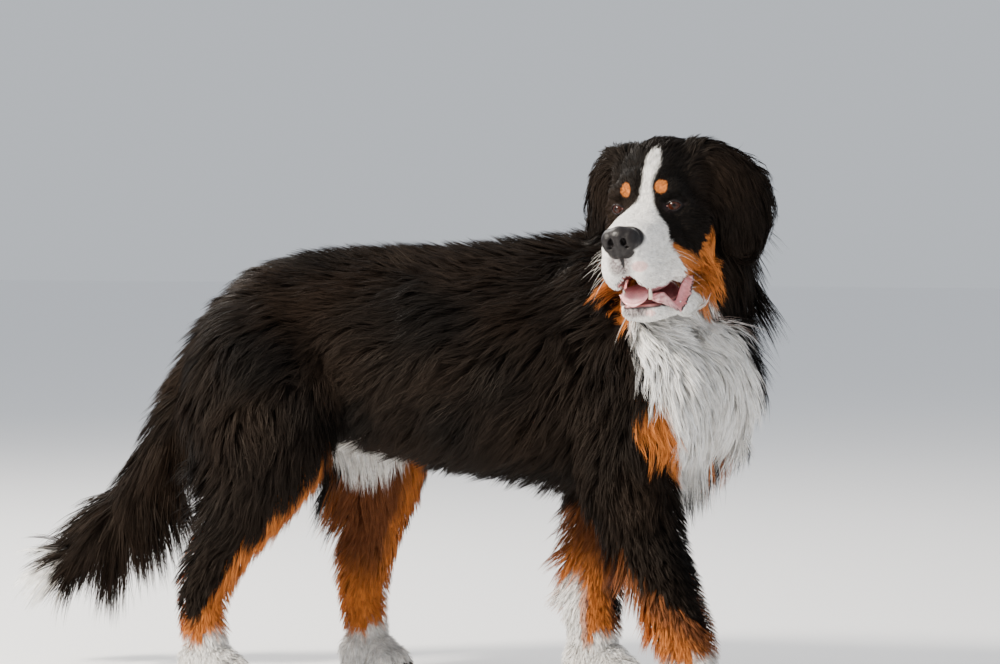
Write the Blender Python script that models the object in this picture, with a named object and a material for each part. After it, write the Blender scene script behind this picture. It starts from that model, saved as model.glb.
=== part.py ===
"""A Bernese mountain dog, life size, standing with its head turned to its right.

Metres, +Z up. The dog faces +X, its left side is +Y, and it stands on z = 0.
"""

import math

import bmesh
import bpy
import numpy as np
from mathutils import Matrix, Vector
from mathutils.bvhtree import BVHTree

# Driving dimensions
WITHERS_HEIGHT = 0.665
CM = WITHERS_HEIGHT / 66.5  # a centimetre on a dog of this height; every table below is in it

GAP = 0.0003  # between parts that touch
CENTRE = (-8.2, -2.6)  # the middle of the dog's outline from above, set on the origin at the end
RING_SIDES = 20
CELL_SIDES = 8
STEPS = 4
CORE_SHARE = 0.5  # how much of the coat's depth the bodies have under their locks

BLACK_COAT = (0.022, 0.018, 0.016), 0.6
COLOURS = {
    "nose": ((0.05, 0.04, 0.04), 0.35),
    "tongue": ((0.72, 0.33, 0.33), 0.4),
    "lower_jaw": ((0.75, 0.7, 0.66), 0.6),
    "eye_left": ((0.12, 0.03, 0.015), 0.1),
    "eye_right": ((0.12, 0.03, 0.015), 0.1),
    "forepaw_left": ((0.8, 0.76, 0.7), 0.7),
    "forepaw_right": ((0.8, 0.76, 0.7), 0.7),
    "hindpaw_left": ((0.8, 0.76, 0.7), 0.7),
    "hindpaw_right": ((0.8, 0.76, 0.7), 0.7),
    "shank_left": ((0.42, 0.14, 0.04), 0.7),
    "shank_right": ((0.42, 0.14, 0.04), 0.7),
}

# Each row of a table: x, y, z, then the skin's reach to the plus side, the minus side and sideways,
# then the coat's depth on those three. The plus side is the back of the torso and neck, the front of
# a leg and the underside of the tail.
TORSO = (
    (-35, 0, 52.0, 5.0, 5.0, 6.5, 3.0, 3.0, 3.0),
    (-30, 0, 52.4, 9.4, 9.4, 10.5, 3.0, 3.0, 3.0),
    (-23, 0, 52.6, 11.6, 11.6, 12.5, 3.0, 3.5, 3.2),
    (-14, 0, 52.5, 12.5, 12.5, 12.5, 3.0, 5.0, 3.4),
    (-4, 0, 51.5, 13.9, 14.0, 13.2, 3.0, 5.0, 3.6),
    (6, 0, 50.7, 15.1, 15.1, 14.6, 3.0, 4.0, 3.8),
    (16, 0, 50.4, 16.2, 16.2, 15.2, 3.0, 4.0, 4.0),
    (25, 0, 50.7, 16.7, 16.7, 14.6, 3.0, 4.0, 4.0),
    (33, -1, 50.5, 15.0, 15.0, 13.0, 3.0, 5.0, 4.5),
    (39.5, -1.5, 49.0, 12.0, 12.5, 10.5, 3.0, 6.0, 5.5),
    (44.5, -2.5, 48.0, 7.0, 8.0, 7.5, 3.0, 6.0, 6.5),
)
NECK = (
    (25, 0, 52.0, 13.0, 13.0, 11.5, 3.0, 6.0, 4.5),
    (31, 0, 56.5, 11.5, 12.5, 11.0, 3.5, 7.0, 5.5),
    (36.5, -1.5, 62.5, 10.0, 11.5, 10.0, 3.5, 7.0, 6.0),
    (40.5, -3.5, 68.5, 9.0, 9.5, 9.0, 3.0, 6.0, 5.5),
    (41.0, -5.0, 74.0, 6.8, 6.0, 7.0, 2.5, 3.0, 3.0),
)
TAIL = (
    (-31, 0, 57.5, 3.6, 3.6, 3.2, 3.0, 3.0, 3.0),
    (-38.5, 0, 51.5, 2.8, 2.8, 2.6, 4.5, 3.5, 3.5),
    (-44.0, 0, 43.5, 2.3, 2.3, 2.1, 6.5, 3.0, 3.8),
    (-49.0, 0, 34.5, 2.0, 2.0, 1.8, 9.5, 2.6, 4.2),
    (-54.5, 0, 27.2, 1.7, 1.7, 1.6, 11.5, 2.6, 4.4),
    (-60.0, 0, 21.4, 1.5, 1.5, 1.4, 9.0, 2.6, 4.2),
    (-65.5, 0, 17.0, 1.2, 1.2, 1.1, 4.8, 2.2, 3.4),
    (-69.5, 0, 14.3, 0.8, 0.8, 0.8, 2.2, 1.4, 2.0),
)
HIND_RIGHT = (
    (-22, -6, 57.0, 8.0, 8.0, 6.0, 2.5, 3.0, 3.0),
    (-24, -9, 50.0, 10.5, 11.5, 7.5, 2.5, 5.0, 3.2),
    (-24, -11.5, 42.5, 11.0, 11.0, 7.0, 2.5, 6.5, 3.2),
    (-23.5, -12.5, 36.0, 8.5, 8.0, 6.0, 2.2, 7.5, 3.0),
    (-26, -12.5, 29.0, 5.4, 5.6, 4.6, 2.0, 7.0, 2.6),
    (-30.0, -12.3, 22.5, 3.8, 4.0, 3.5, 1.8, 4.8, 2.2),
    (-33.4, -12.1, 17.0, 3.2, 3.6, 3.0, 1.6, 2.4, 1.8),
    (-34.8, -12.0, 11.8, 2.8, 2.8, 2.7, 1.6, 1.8, 1.6),
    (-34.4, -12.0, 6.5, 2.8, 2.5, 2.8, 1.0, 1.2, 1.0),
    (-33.5, -12.0, 4.0, 2.6, 2.4, 3.0, 0.8, 0.8, 0.8),
)
HIND_LEFT = (
    (-22, 6, 57.0, 8.0, 8.0, 6.0, 2.5, 3.0, 3.0),
    (-22, 9, 50.0, 10.5, 11.0, 7.5, 2.5, 5.0, 3.2),
    (-19, 11.5, 42.5, 11.0, 10.5, 7.0, 2.5, 6.5, 3.2),
    (-16.5, 12.5, 36.0, 8.0, 8.0, 6.0, 2.2, 7.0, 3.0),
    (-16.3, 12.5, 29.0, 5.4, 5.6, 4.6, 1.6, 6.0, 2.6),
    (-17.2, 12.3, 22.5, 3.8, 4.0, 3.5, 1.5, 4.5, 2.2),
    (-18.3, 12.1, 17.0, 3.2, 3.6, 3.0, 1.3, 2.4, 1.8),
    (-18.8, 12.0, 11.8, 2.8, 2.8, 2.7, 1.4, 1.6, 1.6),
    (-18.4, 12.0, 6.5, 2.8, 2.5, 2.8, 1.0, 1.2, 1.0),
    (-17.5, 12.0, 4.0, 2.6, 2.4, 3.0, 0.8, 0.8, 0.8),
)
FORE_RIGHT = (
    (29, -8, 62.0, 6.0, 8.0, 5.0, 2.5, 3.0, 3.0),
    (37, -10, 51.0, 8.0, 9.0, 6.5, 3.5, 3.0, 3.5),
    (38.5, -12, 43.0, 8.0, 8.5, 6.5, 3.0, 3.0, 3.2),
    (37.0, -12.8, 35.5, 6.0, 6.5, 5.2, 2.2, 3.5, 2.6),
    (38.8, -12.8, 28.0, 4.6, 5.0, 4.4, 1.8, 4.5, 2.2),
    (41.2, -12.6, 21.5, 3.9, 4.2, 3.9, 1.6, 5.0, 2.0),
    (43.4, -12.4, 15.5, 3.5, 3.6, 3.6, 1.6, 4.8, 1.8),
    (45.2, -12.3, 11.0, 3.4, 3.4, 3.5, 1.6, 3.4, 1.6),
    (46.6, -12.3, 6.5, 3.0, 2.9, 3.3, 1.0, 1.8, 1.0),
    (47.3, -12.3, 4.0, 2.8, 2.6, 3.4, 0.8, 0.8, 0.8),
)
FORE_LEFT = (
    (27, 8, 62.0, 6.0, 8.0, 5.0, 2.5, 3.0, 3.0),
    (32, 10, 51.0, 8.0, 9.0, 6.5, 3.5, 3.0, 3.5),
    (29, 12, 43.0, 8.0, 8.5, 6.5, 3.0, 3.0, 3.2),
    (24.5, 12.8, 35.5, 6.0, 6.5, 5.2, 2.2, 3.5, 2.6),
    (22.8, 12.8, 28.0, 4.6, 5.0, 4.4, 1.8, 4.5, 2.2),
    (21.6, 12.6, 21.5, 3.9, 4.2, 3.9, 1.6, 5.0, 2.0),
    (20.8, 12.4, 15.5, 3.5, 3.6, 3.6, 1.6, 2.6, 1.8),
    (20.4, 12.3, 11.0, 3.4, 3.4, 3.5, 1.6, 1.8, 1.6),
    (20.6, 12.3, 6.5, 3.0, 2.9, 3.3, 1.0, 1.4, 1.0),
    (21.2, 12.3, 4.0, 2.8, 2.6, 3.4, 0.8, 0.8, 0.8),
)
TOES = ((2.7, -2.75), (4.0, -0.95), (4.0, 0.95), (2.7, 2.75))

PAWS = {
    "fore_right": (47.3, -12.3),
    "fore_left": (21.4, 12.3),
    "hind_right": (-33.4, -12.0),
    "hind_left": (-17.4, 12.0),
}
ANKLE = 6.8
NECK_BASE = (36, 0, 58)
NECK_LEAN = 40
BODY_TRIANGLES = 1350

# Locks: how wide each is at its stations from root to tip, how flat, and how deep its root is sunk
LOCK_TAPER = (0.7, 1.0, 0.7)
LOCK_FLATNESS = 0.35
ROOT_DEPTH = 1.2
LOWEST_TIP = 1.5
OWNER_REACH = 4
# The share of its length and the lift that a lock is tried at, in turn, until it crosses nothing
LOCK_TRIES = ((1, 0), (1, 0.4), (1, 0.8), (0.8, 0.2), (0.7, 0.9), (0.6, 0.0))
EAR_LOCK_WIDTH = 3.4
# Each row: tube, then first row, last row and count, first angle, last angle and count, the lie along the
# tube, out of it and down, then length, width, rise of the tip, cling to the body, sag and roll to its side
LOCKS = (
    ("torso", (1.4, 8.0, 6), (62, 118, 2), (-1, 0, 0), 14, 8.0, 1.6, 1.0, 0.0, 0),
    ("torso", (0.1, 0.5, 1), (50, 130, 3), (-0.8, 0, 0.6), 9, 6.5, 2.4, 0.7, 0.0, 0),
    ("torso", (1.6, 8.2, 6), (20, -52, 3), (-1, 0, 0.4), 14, 8.0, 2.2, 1.0, 0.0, 0),
    ("torso", (1.6, 8.2, 6), (160, 232, 3), (-1, 0, 0.4), 14, 8.0, 2.2, 1.0, 0.0, 0),
    ("torso", (2.4, 8.0, 7), (255, 285, 2), (-0.9, 0.25, 0.5), 10, 6.0, 2.0, 0.5, 0.2, 0),
    ("torso", (8.6, 9.8, 2), (195, 345, 4), (-0.2, 0, 1.0), 12, 6.5, 3.0, 0.8, 0.2, 0),
    ("neck", (0.8, 3.0, 3), (60, 120, 2), (-1, 0, 0.0), 12, 7.5, 2.0, 1.0, 0.0, 0),
    ("neck", (0.6, 3.4, 4), (20, -30, 2), (-1, 0, 0.5), 12, 7.0, 2.8, 1.0, 0.1, 0),
    ("neck", (0.6, 3.4, 4), (160, 210, 2), (-1, 0, 0.5), 12, 7.0, 2.8, 1.0, 0.1, 0),
    ("neck", (0.4, 3.3, 4), (228, 312, 3), (-0.8, 0, 0.8), 13, 6.5, 3.6, 0.8, 0.2, 0),
    ("hind_right", (1.2, 3.6, 3), (120, 205, 3), (0.8, 0, 0.4), 12, 7.0, 1.8, 1.0, 0.1, 0),
    ("hind_left", (1.2, 3.6, 3), (60, -25, 3), (0.8, 0, 0.4), 12, 7.0, 1.8, 1.0, 0.1, 0),
    ("hind_right", (1.2, 4.6, 5), (245, 295, 2), (0.8, 0.35, 0.3), 12, 5.5, 2.0, 0.5, 0.2, 40),
    ("hind_left", (1.2, 4.6, 5), (245, 295, 2), (0.8, 0.35, 0.3), 12, 5.5, 2.0, 0.5, 0.2, -40),
    ("fore_right", (0.8, 2.6, 2), (140, 225, 3), (0.8, 0, 0.5), 11, 6.5, 1.6, 1.0, 0.1, 0),
    ("fore_left", (0.8, 2.6, 2), (40, -45, 3), (0.8, 0, 0.5), 11, 6.5, 1.6, 1.0, 0.1, 0),
    ("fore_right", (2.6, 5.4, 5), (262, 278, 1), (0.8, 0.45, 0.1), 8, 4.0, 0.8, 0.0, 0.1, 80),
    ("fore_left", (2.6, 4.8, 5), (262, 278, 1), (0.8, 0.45, 0.1), 7, 4.0, 0.8, 0.0, 0.1, -80),
    ("tail", (1.2, 4.4, 6), (40, 140, 3), (1.0, 0.4, 0.0), 11, 4.8, 1.0, 0.0, 0.0, 45),
    ("tail", (4.9, 6.6, 3), (30, 150, 3), (1.0, 0.12, 0.0), 8, 4.2, 0.6, 0.2, -0.1, 30),
    ("tail", (1.0, 5.6, 5), (225, 315, 2), (1.0, 0.05, 0.0), 12, 4.6, 1.0, 0.8, 0.0, 0),
)
# Ear locks: row of the finer flap, place across it and length
EAR_LOCKS = ((5, 0.85, 5.0), (7, 0.9, 5.5), (9, 0.85, 5.5), (11, 0.5, 4.5), (10, -0.4, 4.0), (8, -0.8, 3.5))

# The head's own frame: forward, left and up from the midpoint between the eyes
HEAD_PLACE = (40.8, -16.7, 73.4)
HEAD_HEADING = -90
HEAD_PITCH = 6
HEAD_ROLL = 3.5
EYE_PLACE = (-1.0, 4.2, 0.0)
EYE_RADIUS = 1.2
EYE_OUTWARD = 20
LID = 0.3
HEAD_BACK = -15.0
MUZZLE = (
    (-4.0, 3.0, -8.0, 4.6),
    (0.0, 1.6, -8.6, 4.5),
    (2.5, 0.3, -9.0, 4.4),
    (5.0, -0.7, -9.2, 4.3),
    (8.0, -1.4, -9.0, 3.9),
    (9.6, -2.2, -8.8, 3.3),
    (10.6, -3.4, -8.2, 2.4),
)
SKULL_FORMS = [
    ((-8.4, 0, 0.2), (8.2, 7.4, 9.2), (0, 8, 0)),
    ((-3.4, 0, 1.6), (4.6, 5.7, 4.8), (0, 0, 0)),
    ((-7.0, 0, -5.5), (7.0, 6.2, 5.5), (0, 0, 0)),
    ((-15.0, 0, -1.5), (7.0, 7.2, 7.8), (0, 20, 0)),
]
SKULL_PAIRS = [
    ((-1.6, 3.7, 2.3), (2.3, 2.5, 1.6), (0, 0, 0)),
    ((-2.2, 4.6, -0.2), (2.4, 2.4, 2.6), (0, 0, 0)),
    ((-5.2, 4.6, -3.6), (4.8, 3.5, 5.4), (0, 0, 0)),
    ((-8.4, 5.0, 3.0), (4.6, 3.0, 4.4), (0, 0, 0)),
    ((-1.4, 3.6, -6.4), (4.6, 2.3, 4.2), (0, 0, 0)),
    ((3.6, 2.9, -7.9), (3.8, 1.8, 3.4), (0, 12, 0)),
    ((7.0, 2.2, -7.6), (3.2, 2.0, 3.3), (0, 0, 0)),
]
FACE_BRUSHES = [
    ((0.5, 0, 4.2), (3.5, 1.6, 3.5), (-0.5, 0, -0.4)),
    ((10.4, 0, -8.0), (1.2, 0.8, 2.2), (-0.5, 0, 0.4)),
]
FACE_BRUSH_PAIRS = [
    ((0.6, 4.6, 0.0), (2.4, 2.2, 1.7), (-0.5, 0, 0)),
    ((2.0, 3.6, -0.6), (2.2, 2.2, 2.0), (-0.2, 0, -0.5)),
]
NOSE_FORMS = [
    ((10.2, 0, -3.4), (1.5, 2.0, 1.7), (0, 0, 0)),
    ((10.2, 0, -5.0), (1.2, 1.0, 1.5), (0, 0, 0)),
]
NOSE_PAIRS = [
    ((10.1, 1.45, -3.7), (1.4, 1.35, 1.75), (0, 0, 0)),
]
NOSTRILS = [
    ((11.4, 1.15, -3.8), (0.9, 0.5, 0.62), (0, 0, 20)),
    ((10.8, 2.35, -4.45), (0.8, 0.6, 0.25), (20, 0, 50)),
]
MOUTH = (
    (-3.5, -9.0, -13.5, 3.6),
    (-1.0, -8.2, -13.5, 4.0),
    (3.0, -7.6, -13.5, 3.2),
    (6.5, -7.4, -13.5, 2.5),
    (8.6, -8.2, -13.5, 1.7),
)
JAW = (
    (-8.5, -7.6, -13.0, 5.0),
    (-5.0, -9.6, -14.4, 5.2),
    (-1.5, -12.2, -15.5, 4.9),
    (2.0, -13.2, -16.1, 4.1),
    (4.4, -13.6, -16.2, 3.3),
    (5.8, -14.0, -15.7, 2.2),
)
JAW_FORMS = [((3.2, 0, -14.8), (2.7, 2.9, 1.6), (0, 0, 0))]
JAW_PAIRS = [((-1.6, 4.7, -14.0), (3.6, 0.9, 1.6), (0, 18, -6))]
JAW_BRUSHES = [((2.0, 0, -12.0), (6.5, 3.0, 3.4), (0, 0, -1.2))]
TEETH = [((4.2, 2.3, -14.2), 2.0, 0.42)]
TONGUE = (
    (-4.0, -10.6, 2.0, 0.5),
    (-1.0, -11.7, 2.4, 0.6),
    (2.5, -12.4, 2.2, 0.55),
    (5.0, -12.6, 2.1, 0.5),
    (6.4, -13.1, 1.9, 0.4),
    (6.9, -13.6, 1.2, 0.25),
)
TONGUE_CUP = 0.5
# x, y and z of the flap's middle, its half width, how hollow it is and how thick
EAR = (
    (-8.2, 6.4, 7.4, 2.6, 0.9, 1.6),
    (-8.6, 8.6, 7.5, 3.4, 1.0, 1.2),
    (-9.2, 10.6, 5.6, 4.4, 1.0, 0.9),
    (-9.8, 11.4, 2.0, 4.9, 0.9, 0.8),
    (-10.0, 11.6, -2.0, 4.4, 0.8, 0.7),
    (-10.0, 11.2, -5.8, 3.0, 0.6, 0.7),
    (-9.8, 10.9, -8.2, 1.2, 0.2, 0.6),
)
EAR_FLARE = 45
TUBES = {
    "torso": (TORSO, 2.2),
    "neck": (NECK, 2.1),
    "tail": (TAIL, 2.0),
    "hind_right": (HIND_RIGHT, 2.1),
    "hind_left": (HIND_LEFT, 2.1),
    "fore_right": (FORE_RIGHT, 2.1),
    "fore_left": (FORE_LEFT, 2.1),
}


def clear_scene():
    for obj in list(bpy.data.objects):
        bpy.data.objects.remove(obj)


def smooth_rows(rows, steps=STEPS):
    """The rows with Catmull-Rom rows between them."""
    rows = np.array(rows, float)
    padded = np.vstack([2 * rows[0] - rows[1], rows, 2 * rows[-1] - rows[-2]])
    made = []
    for i in range(1, len(rows)):
        before, here, after, beyond = padded[i - 1 : i + 3]
        for t in np.arange(steps) / steps:
            made.append(
                0.5
                * (
                    2 * here
                    + (after - before) * t
                    + (2 * before - 5 * here + 4 * after - beyond) * t**2
                    + (3 * here - before - 3 * after + beyond) * t**3
                )
            )
    made.append(rows[-1])
    return np.array(made)


def ring(centre, side, normal, plus, minus, wide, power, sides=RING_SIDES):
    """Points round a superellipse whose two halves reach plus along normal and minus against it."""
    made = []
    for k in range(sides):
        turn = 2 * math.pi * k / sides
        across, up = math.cos(turn), math.sin(turn)
        across = math.copysign(abs(across) ** (2 / power), across)
        up = math.copysign(abs(up) ** (2 / power), up)
        made.append(centre + side * (wide * across) + normal * ((plus if up > 0 else minus) * up))
    return made


def object_of(name, points, faces):
    mesh = bpy.data.meshes.new(name)
    mesh.from_pydata([tuple(p) for p in points], [], faces)
    mesh.update()
    obj = bpy.data.objects.new(name, mesh)
    bpy.context.scene.collection.objects.link(obj)
    return obj


def skinned(name, rings, tip=None):
    """A closed tube through the rings, with a point closing each end: the last one is tip, if given."""
    sides = len(rings[0])
    points = [p for r in rings for p in r]
    faces = []
    for i in range(len(rings) - 1):
        for k in range(sides):
            a, b = i * sides + k, i * sides + (k + 1) % sides
            faces.append((a, b, b + sides, a + sides))
    first, last = len(points), len(points) + 1
    points += [sum(rings[0], Vector()) / sides, tip or sum(rings[-1], Vector()) / sides]
    top = (len(rings) - 1) * sides
    for k in range(sides):
        after = (k + 1) % sides
        faces.append((after, k, first))
        faces.append((top + k, top + after, last))
    obj = object_of(name, points, faces)
    bm = bmesh.new()
    bm.from_mesh(obj.data)
    bmesh.ops.recalc_face_normals(bm, faces=bm.faces)
    bm.to_mesh(obj.data)
    bm.free()
    return obj


def stations(rows, coat_share):
    """For each row: its centre, the tube's direction, its side and plus directions and its reach there."""
    rows = rows * CM
    centres = [Vector(r[:3]) for r in rows]
    reach = rows[:, 3:6] + coat_share * rows[:, 6:9]
    made = []
    for i, centre in enumerate(centres):
        along = (centres[min(i + 1, len(rows) - 1)] - centres[max(i - 1, 0)]).normalized()
        side = (Vector((0, 1, 0)) - along * along.y).normalized()
        made.append((centre, along, side, along.cross(side), *reach[i]))
    return made


def limb(name, rows, power, coat_share, dome=0.7, sides=RING_SIDES, steps=STEPS):
    """A tube through a table's rows, with coat_share of the coat on it and a rounded end each way."""
    rings = stations(smooth_rows(rows, steps), coat_share)
    caps = []
    for end, sign in ((0, -1), (-1, 1)):
        centre, along, side, normal, plus, minus, wide = rings[end]
        length = dome * min(plus, minus, wide)
        cap = []
        for turn in (0.35, 0.7, 1.0, 1.25):
            shrink = math.cos(turn)
            at = centre + along * (sign * length * math.sin(turn))
            cap.append(ring(at, side, normal, plus * shrink, minus * shrink, wide * shrink, power, sides))
        caps.append(cap)
    middle = [ring(c, s, n, p, m, w, power, sides) for c, _, s, n, p, m, w in rings]
    return skinned(name, caps[0][::-1] + middle + caps[1])


def on_limb(tube, at, angle, coat_share):
    """A point on a tube at a row number and an angle, with the directions along it and out of it."""
    rows, power = TUBES[tube]
    fine = smooth_rows(rows)
    index = min(int(round(at * STEPS)), len(fine) - 1)
    beside = fine[max(index - 1, 0) : index + 2]
    centre, along, side, normal, plus, minus, wide = stations(beside, coat_share)[min(index, 1)]
    turn = math.radians(angle)
    high = plus if math.sin(turn) > 0 else minus
    out = side * (math.cos(turn) * wide) + normal * (math.sin(turn) * high)
    return centre + out, along, out.normalized()


def blob(name, centre, reach, turn=(0, 0, 0), coat=(0, 0, 0), coat_share=0.0, rings=16):
    """An ellipsoid, with its half axes in CM and its turn in degrees about X, Y, Z."""
    reach = [(r + coat_share * c) * CM for r, c in zip(reach, coat)]
    obj = object_of(name, [], [])
    bm = bmesh.new()
    bmesh.ops.create_uvsphere(bm, u_segments=rings, v_segments=rings // 2 + 2, radius=1.0)
    rotation = Matrix.Rotation(math.radians(turn[2]), 4, "Z")
    rotation @= Matrix.Rotation(math.radians(turn[1]), 4, "Y")
    rotation @= Matrix.Rotation(math.radians(turn[0]), 4, "X")
    placed = Matrix.Translation(Vector(centre) * CM) @ rotation @ Matrix.Diagonal((*reach, 1))
    bmesh.ops.transform(bm, matrix=placed, verts=bm.verts)
    bm.to_mesh(obj.data)
    bm.free()
    return obj


def joined(name, objects):
    """The objects' meshes as one object, still overlapping."""
    bm = bmesh.new()
    for obj in objects:
        bm.from_mesh(obj.data)
    mesh = bpy.data.meshes.new(name)
    bm.to_mesh(mesh)
    bm.free()
    for obj in objects:
        bpy.data.objects.remove(obj)
    obj = bpy.data.objects.new(name, mesh)
    bpy.context.scene.collection.objects.link(obj)
    return obj


def apply_modifiers(obj):
    graph = bpy.context.evaluated_depsgraph_get()
    graph.update()
    mesh = bpy.data.meshes.new_from_object(obj.evaluated_get(graph))
    obj.modifiers.clear()
    obj.data = mesh
    return obj


def fused(name, objects, voxel, smoothing):
    """The overlapping objects as one smooth skin."""
    obj = joined(name, objects)
    remesh = obj.modifiers.new("Remesh", "REMESH")
    remesh.mode = "VOXEL"
    remesh.voxel_size = voxel
    smooth = obj.modifiers.new("Smooth", "SMOOTH")
    smooth.factor = 0.5
    smooth.iterations = smoothing
    return apply_modifiers(obj)


def boolean(obj, others, operation):
    """obj joined with, or cut by, the closed objects. MANIFOLD, as EXACT is slow on crossing locks."""
    group = bpy.data.collections.new("group")
    for other in others:
        group.objects.link(other)
    modifier = obj.modifiers.new("Boolean", "BOOLEAN")
    modifier.operation = operation
    modifier.operand_type = "COLLECTION"
    modifier.collection = group
    modifier.solver = "MANIFOLD"
    apply_modifiers(obj)
    bpy.data.collections.remove(group)
    for other in others:
        bpy.data.objects.remove(other)
    return obj


def copied(name, obj, grown=0.0):
    """A copy of obj, with its faces moved out by grown."""
    mesh = obj.data.copy()
    if grown:
        bm = bmesh.new()
        bm.from_mesh(mesh)
        bm.normal_update()
        moves = [v.normal * (grown * min(v.calc_shell_factor(), 1.6)) for v in bm.verts]
        for vertex, move in zip(bm.verts, moves):
            vertex.co += move
        bm.to_mesh(mesh)
        bm.free()
    made = bpy.data.objects.new(name, mesh)
    bpy.context.scene.collection.objects.link(made)
    return made


def largest_piece(obj):
    """Keeps only the largest closed surface of obj."""
    bm = bmesh.new()
    bm.from_mesh(obj.data)
    seen = set()
    pieces = []
    for face in bm.faces:
        if face in seen:
            continue
        seen.add(face)
        piece, waiting = [], [face]
        while waiting:
            here = waiting.pop()
            piece.append(here)
            for edge in here.edges:
                for beside in edge.link_faces:
                    if beside not in seen:
                        seen.add(beside)
                        waiting.append(beside)
        pieces.append(piece)
    pieces.sort(key=lambda piece: sum(f.calc_area() for f in piece))
    spare = [face for piece in pieces[:-1] for face in piece]
    bmesh.ops.delete(bm, geom=spare, context="FACES")
    bm.to_mesh(obj.data)
    bm.free()
    return obj


def thinned(obj, triangles):
    """obj with about this many triangles."""
    obj.data.calc_loop_triangles()
    modifier = obj.modifiers.new("Decimate", "DECIMATE")
    modifier.ratio = min(1.0, triangles / len(obj.data.loop_triangles))
    modifier.use_collapse_triangulate = True
    return apply_modifiers(obj)


def moved(obj, matrix):
    obj.data.transform(matrix)
    return obj


def nudge(obj, brushes):
    """Pushes the surface: each brush is a centre and reach in CM and a move in CM, fading to its rim."""
    points = np.empty(len(obj.data.vertices) * 3)
    obj.data.vertices.foreach_get("co", points)
    points = points.reshape(-1, 3)
    for centre, reach, move in brushes:
        away = (points - np.array(centre) * CM) / (np.array(reach) * CM)
        share = np.clip(1 - (away**2).sum(1), 0, 1) ** 2
        points += share[:, None] * np.array(move) * CM
    obj.data.vertices.foreach_set("co", points.ravel())
    obj.data.update()
    return obj


def mirrored(rows):
    """Each row's first entry is a place; the row again with its Y turned over."""
    return list(rows) + [((x, -y, z), *rest) for (x, y, z), *rest in rows]


# Body


def body(coat_share, voxel, smoothing):
    forms = [limb(name, rows, power, coat_share) for name, (rows, power) in TUBES.items()]
    return fused("body", forms, voxel, smoothing)


def paw(name, place, hind):
    """A paw with its toes and pads, its soles cut level at the floor."""
    x, y = place
    reach = 0.94 if hind else 1.0
    forms = [
        ((-1.2, 0, 3.4), (4.0, 3.7, 3.4)),
        ((-2.4, 0, 0.8), (2.5, 2.5, 1.6)),
        ((1.2, 0, 3.2), (3.2, 3.6, 2.7)),
    ]
    for along, across in TOES:
        forms.append(((along, across, 1.8), (2.5, 1.32, 2.2)))
    blobs = [blob("form", Vector(c) * reach, [r * reach for r in radii]) for c, radii in forms]
    obj = thinned(fused(name, blobs, 0.0032, 2), 200)
    for along, across in TOES:
        root = Vector((along + 1.7, across, 1.5)) * reach
        tip = Vector((along + 3.6, across, 0.45)) * reach
        boolean(obj, [spike("claw", root, tip, 0.5)], "UNION")
    moved(obj, Matrix.Translation(Vector((x, y, 0)) * CM))
    return boolean(obj, [box("floor", (x, y, -5), (12, 12, 5))], "DIFFERENCE")


def spike(name, root, tip, radius, sides=5):
    """A claw or tooth: a cone from root to tip, in CM."""
    along = (tip - root).normalized()
    side = along.orthogonal().normalized()
    normal = along.cross(side)
    rings = []
    for share in (0.0, 0.6):
        shrink = radius * (1 - share**1.5)
        centre = root.lerp(tip, share)
        rings.append([p * CM for p in ring(centre, side, normal, shrink, shrink, shrink, 2, sides)])
    return skinned(name, rings, tip * CM)


def box(name, centre, reach, matrix=Matrix()):
    obj = object_of(name, [], [])
    bm = bmesh.new()
    bmesh.ops.create_cube(bm, size=2.0)
    scale = Matrix.Diagonal((*(r * CM for r in reach), 1))
    placed = Matrix.Translation(Vector(centre) * CM) @ matrix @ scale
    bmesh.ops.transform(bm, matrix=placed, verts=bm.verts)
    bm.to_mesh(obj.data)
    bm.free()
    return obj


# Head, in its own frame: CM forward, to the dog's left and up from the midpoint between the eyes


def head_frame():
    frame = Matrix.Translation(Vector(HEAD_PLACE) * CM)
    frame @= Matrix.Rotation(math.radians(HEAD_HEADING), 4, "Z")
    frame @= Matrix.Rotation(math.radians(HEAD_PITCH), 4, "Y")
    return frame @ Matrix.Rotation(math.radians(HEAD_ROLL), 4, "X")


def profile(name, rows, power, sides=RING_SIDES, steps=STEPS):
    """A form along X through rows of x, top, bottom, half width."""
    rows = smooth_rows(rows, steps)
    rings = []
    for x, top, bottom, wide in rows:
        centre = Vector((x, 0, (top + bottom) / 2)) * CM
        high = (top - bottom) / 2 * CM
        side, normal = Vector((0, 1, 0)), Vector((0, 0, 1))
        rings.append(ring(centre, side, normal, high, high, wide * CM, power, sides))
    return skinned(name, rings)


def skull(coat_share):
    """The head above the mouth: skull, brows, cheeks, muzzle and the lips that hang at its sides."""
    forms = [profile("muzzle", MUZZLE, 2.6)]
    forms += [
        blob("form", centre, reach, turn, (0.7, 0.7, 0.9), coat_share)
        for centre, reach, turn in SKULL_FORMS + mirrored(SKULL_PAIRS)
    ]
    return forms


def eye_direction(side):
    out = math.radians(EYE_OUTWARD) * side
    return Vector((math.cos(out), math.sin(out), 0.06)).normalized()


def eyes():
    made = []
    for name, side in (("eye_left", 1), ("eye_right", -1)):
        place = (EYE_PLACE[0], side * EYE_PLACE[1], EYE_PLACE[2])
        made.append(blob(name, place, (EYE_RADIUS,) * 3, rings=10))
    return made


def lids(head):
    """Lids as a shell round each eye, open along a slit that droops at both ends."""
    for side in (1, -1):
        place = Vector((EYE_PLACE[0], side * EYE_PLACE[1], EYE_PLACE[2]))
        facing = eye_direction(side)
        shell = blob("lid", place, (EYE_RADIUS + LID,) * 3, rings=12)
        boolean(head, [shell], "UNION")
        heading = math.degrees(math.atan2(facing.y, facing.x))
        slit = blob("slit", place + facing * EYE_RADIUS, (1.6, 1.15, 0.62), (side * 8, 0, heading), rings=10)
        boolean(head, [slit], "DIFFERENCE")
    return head


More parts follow.
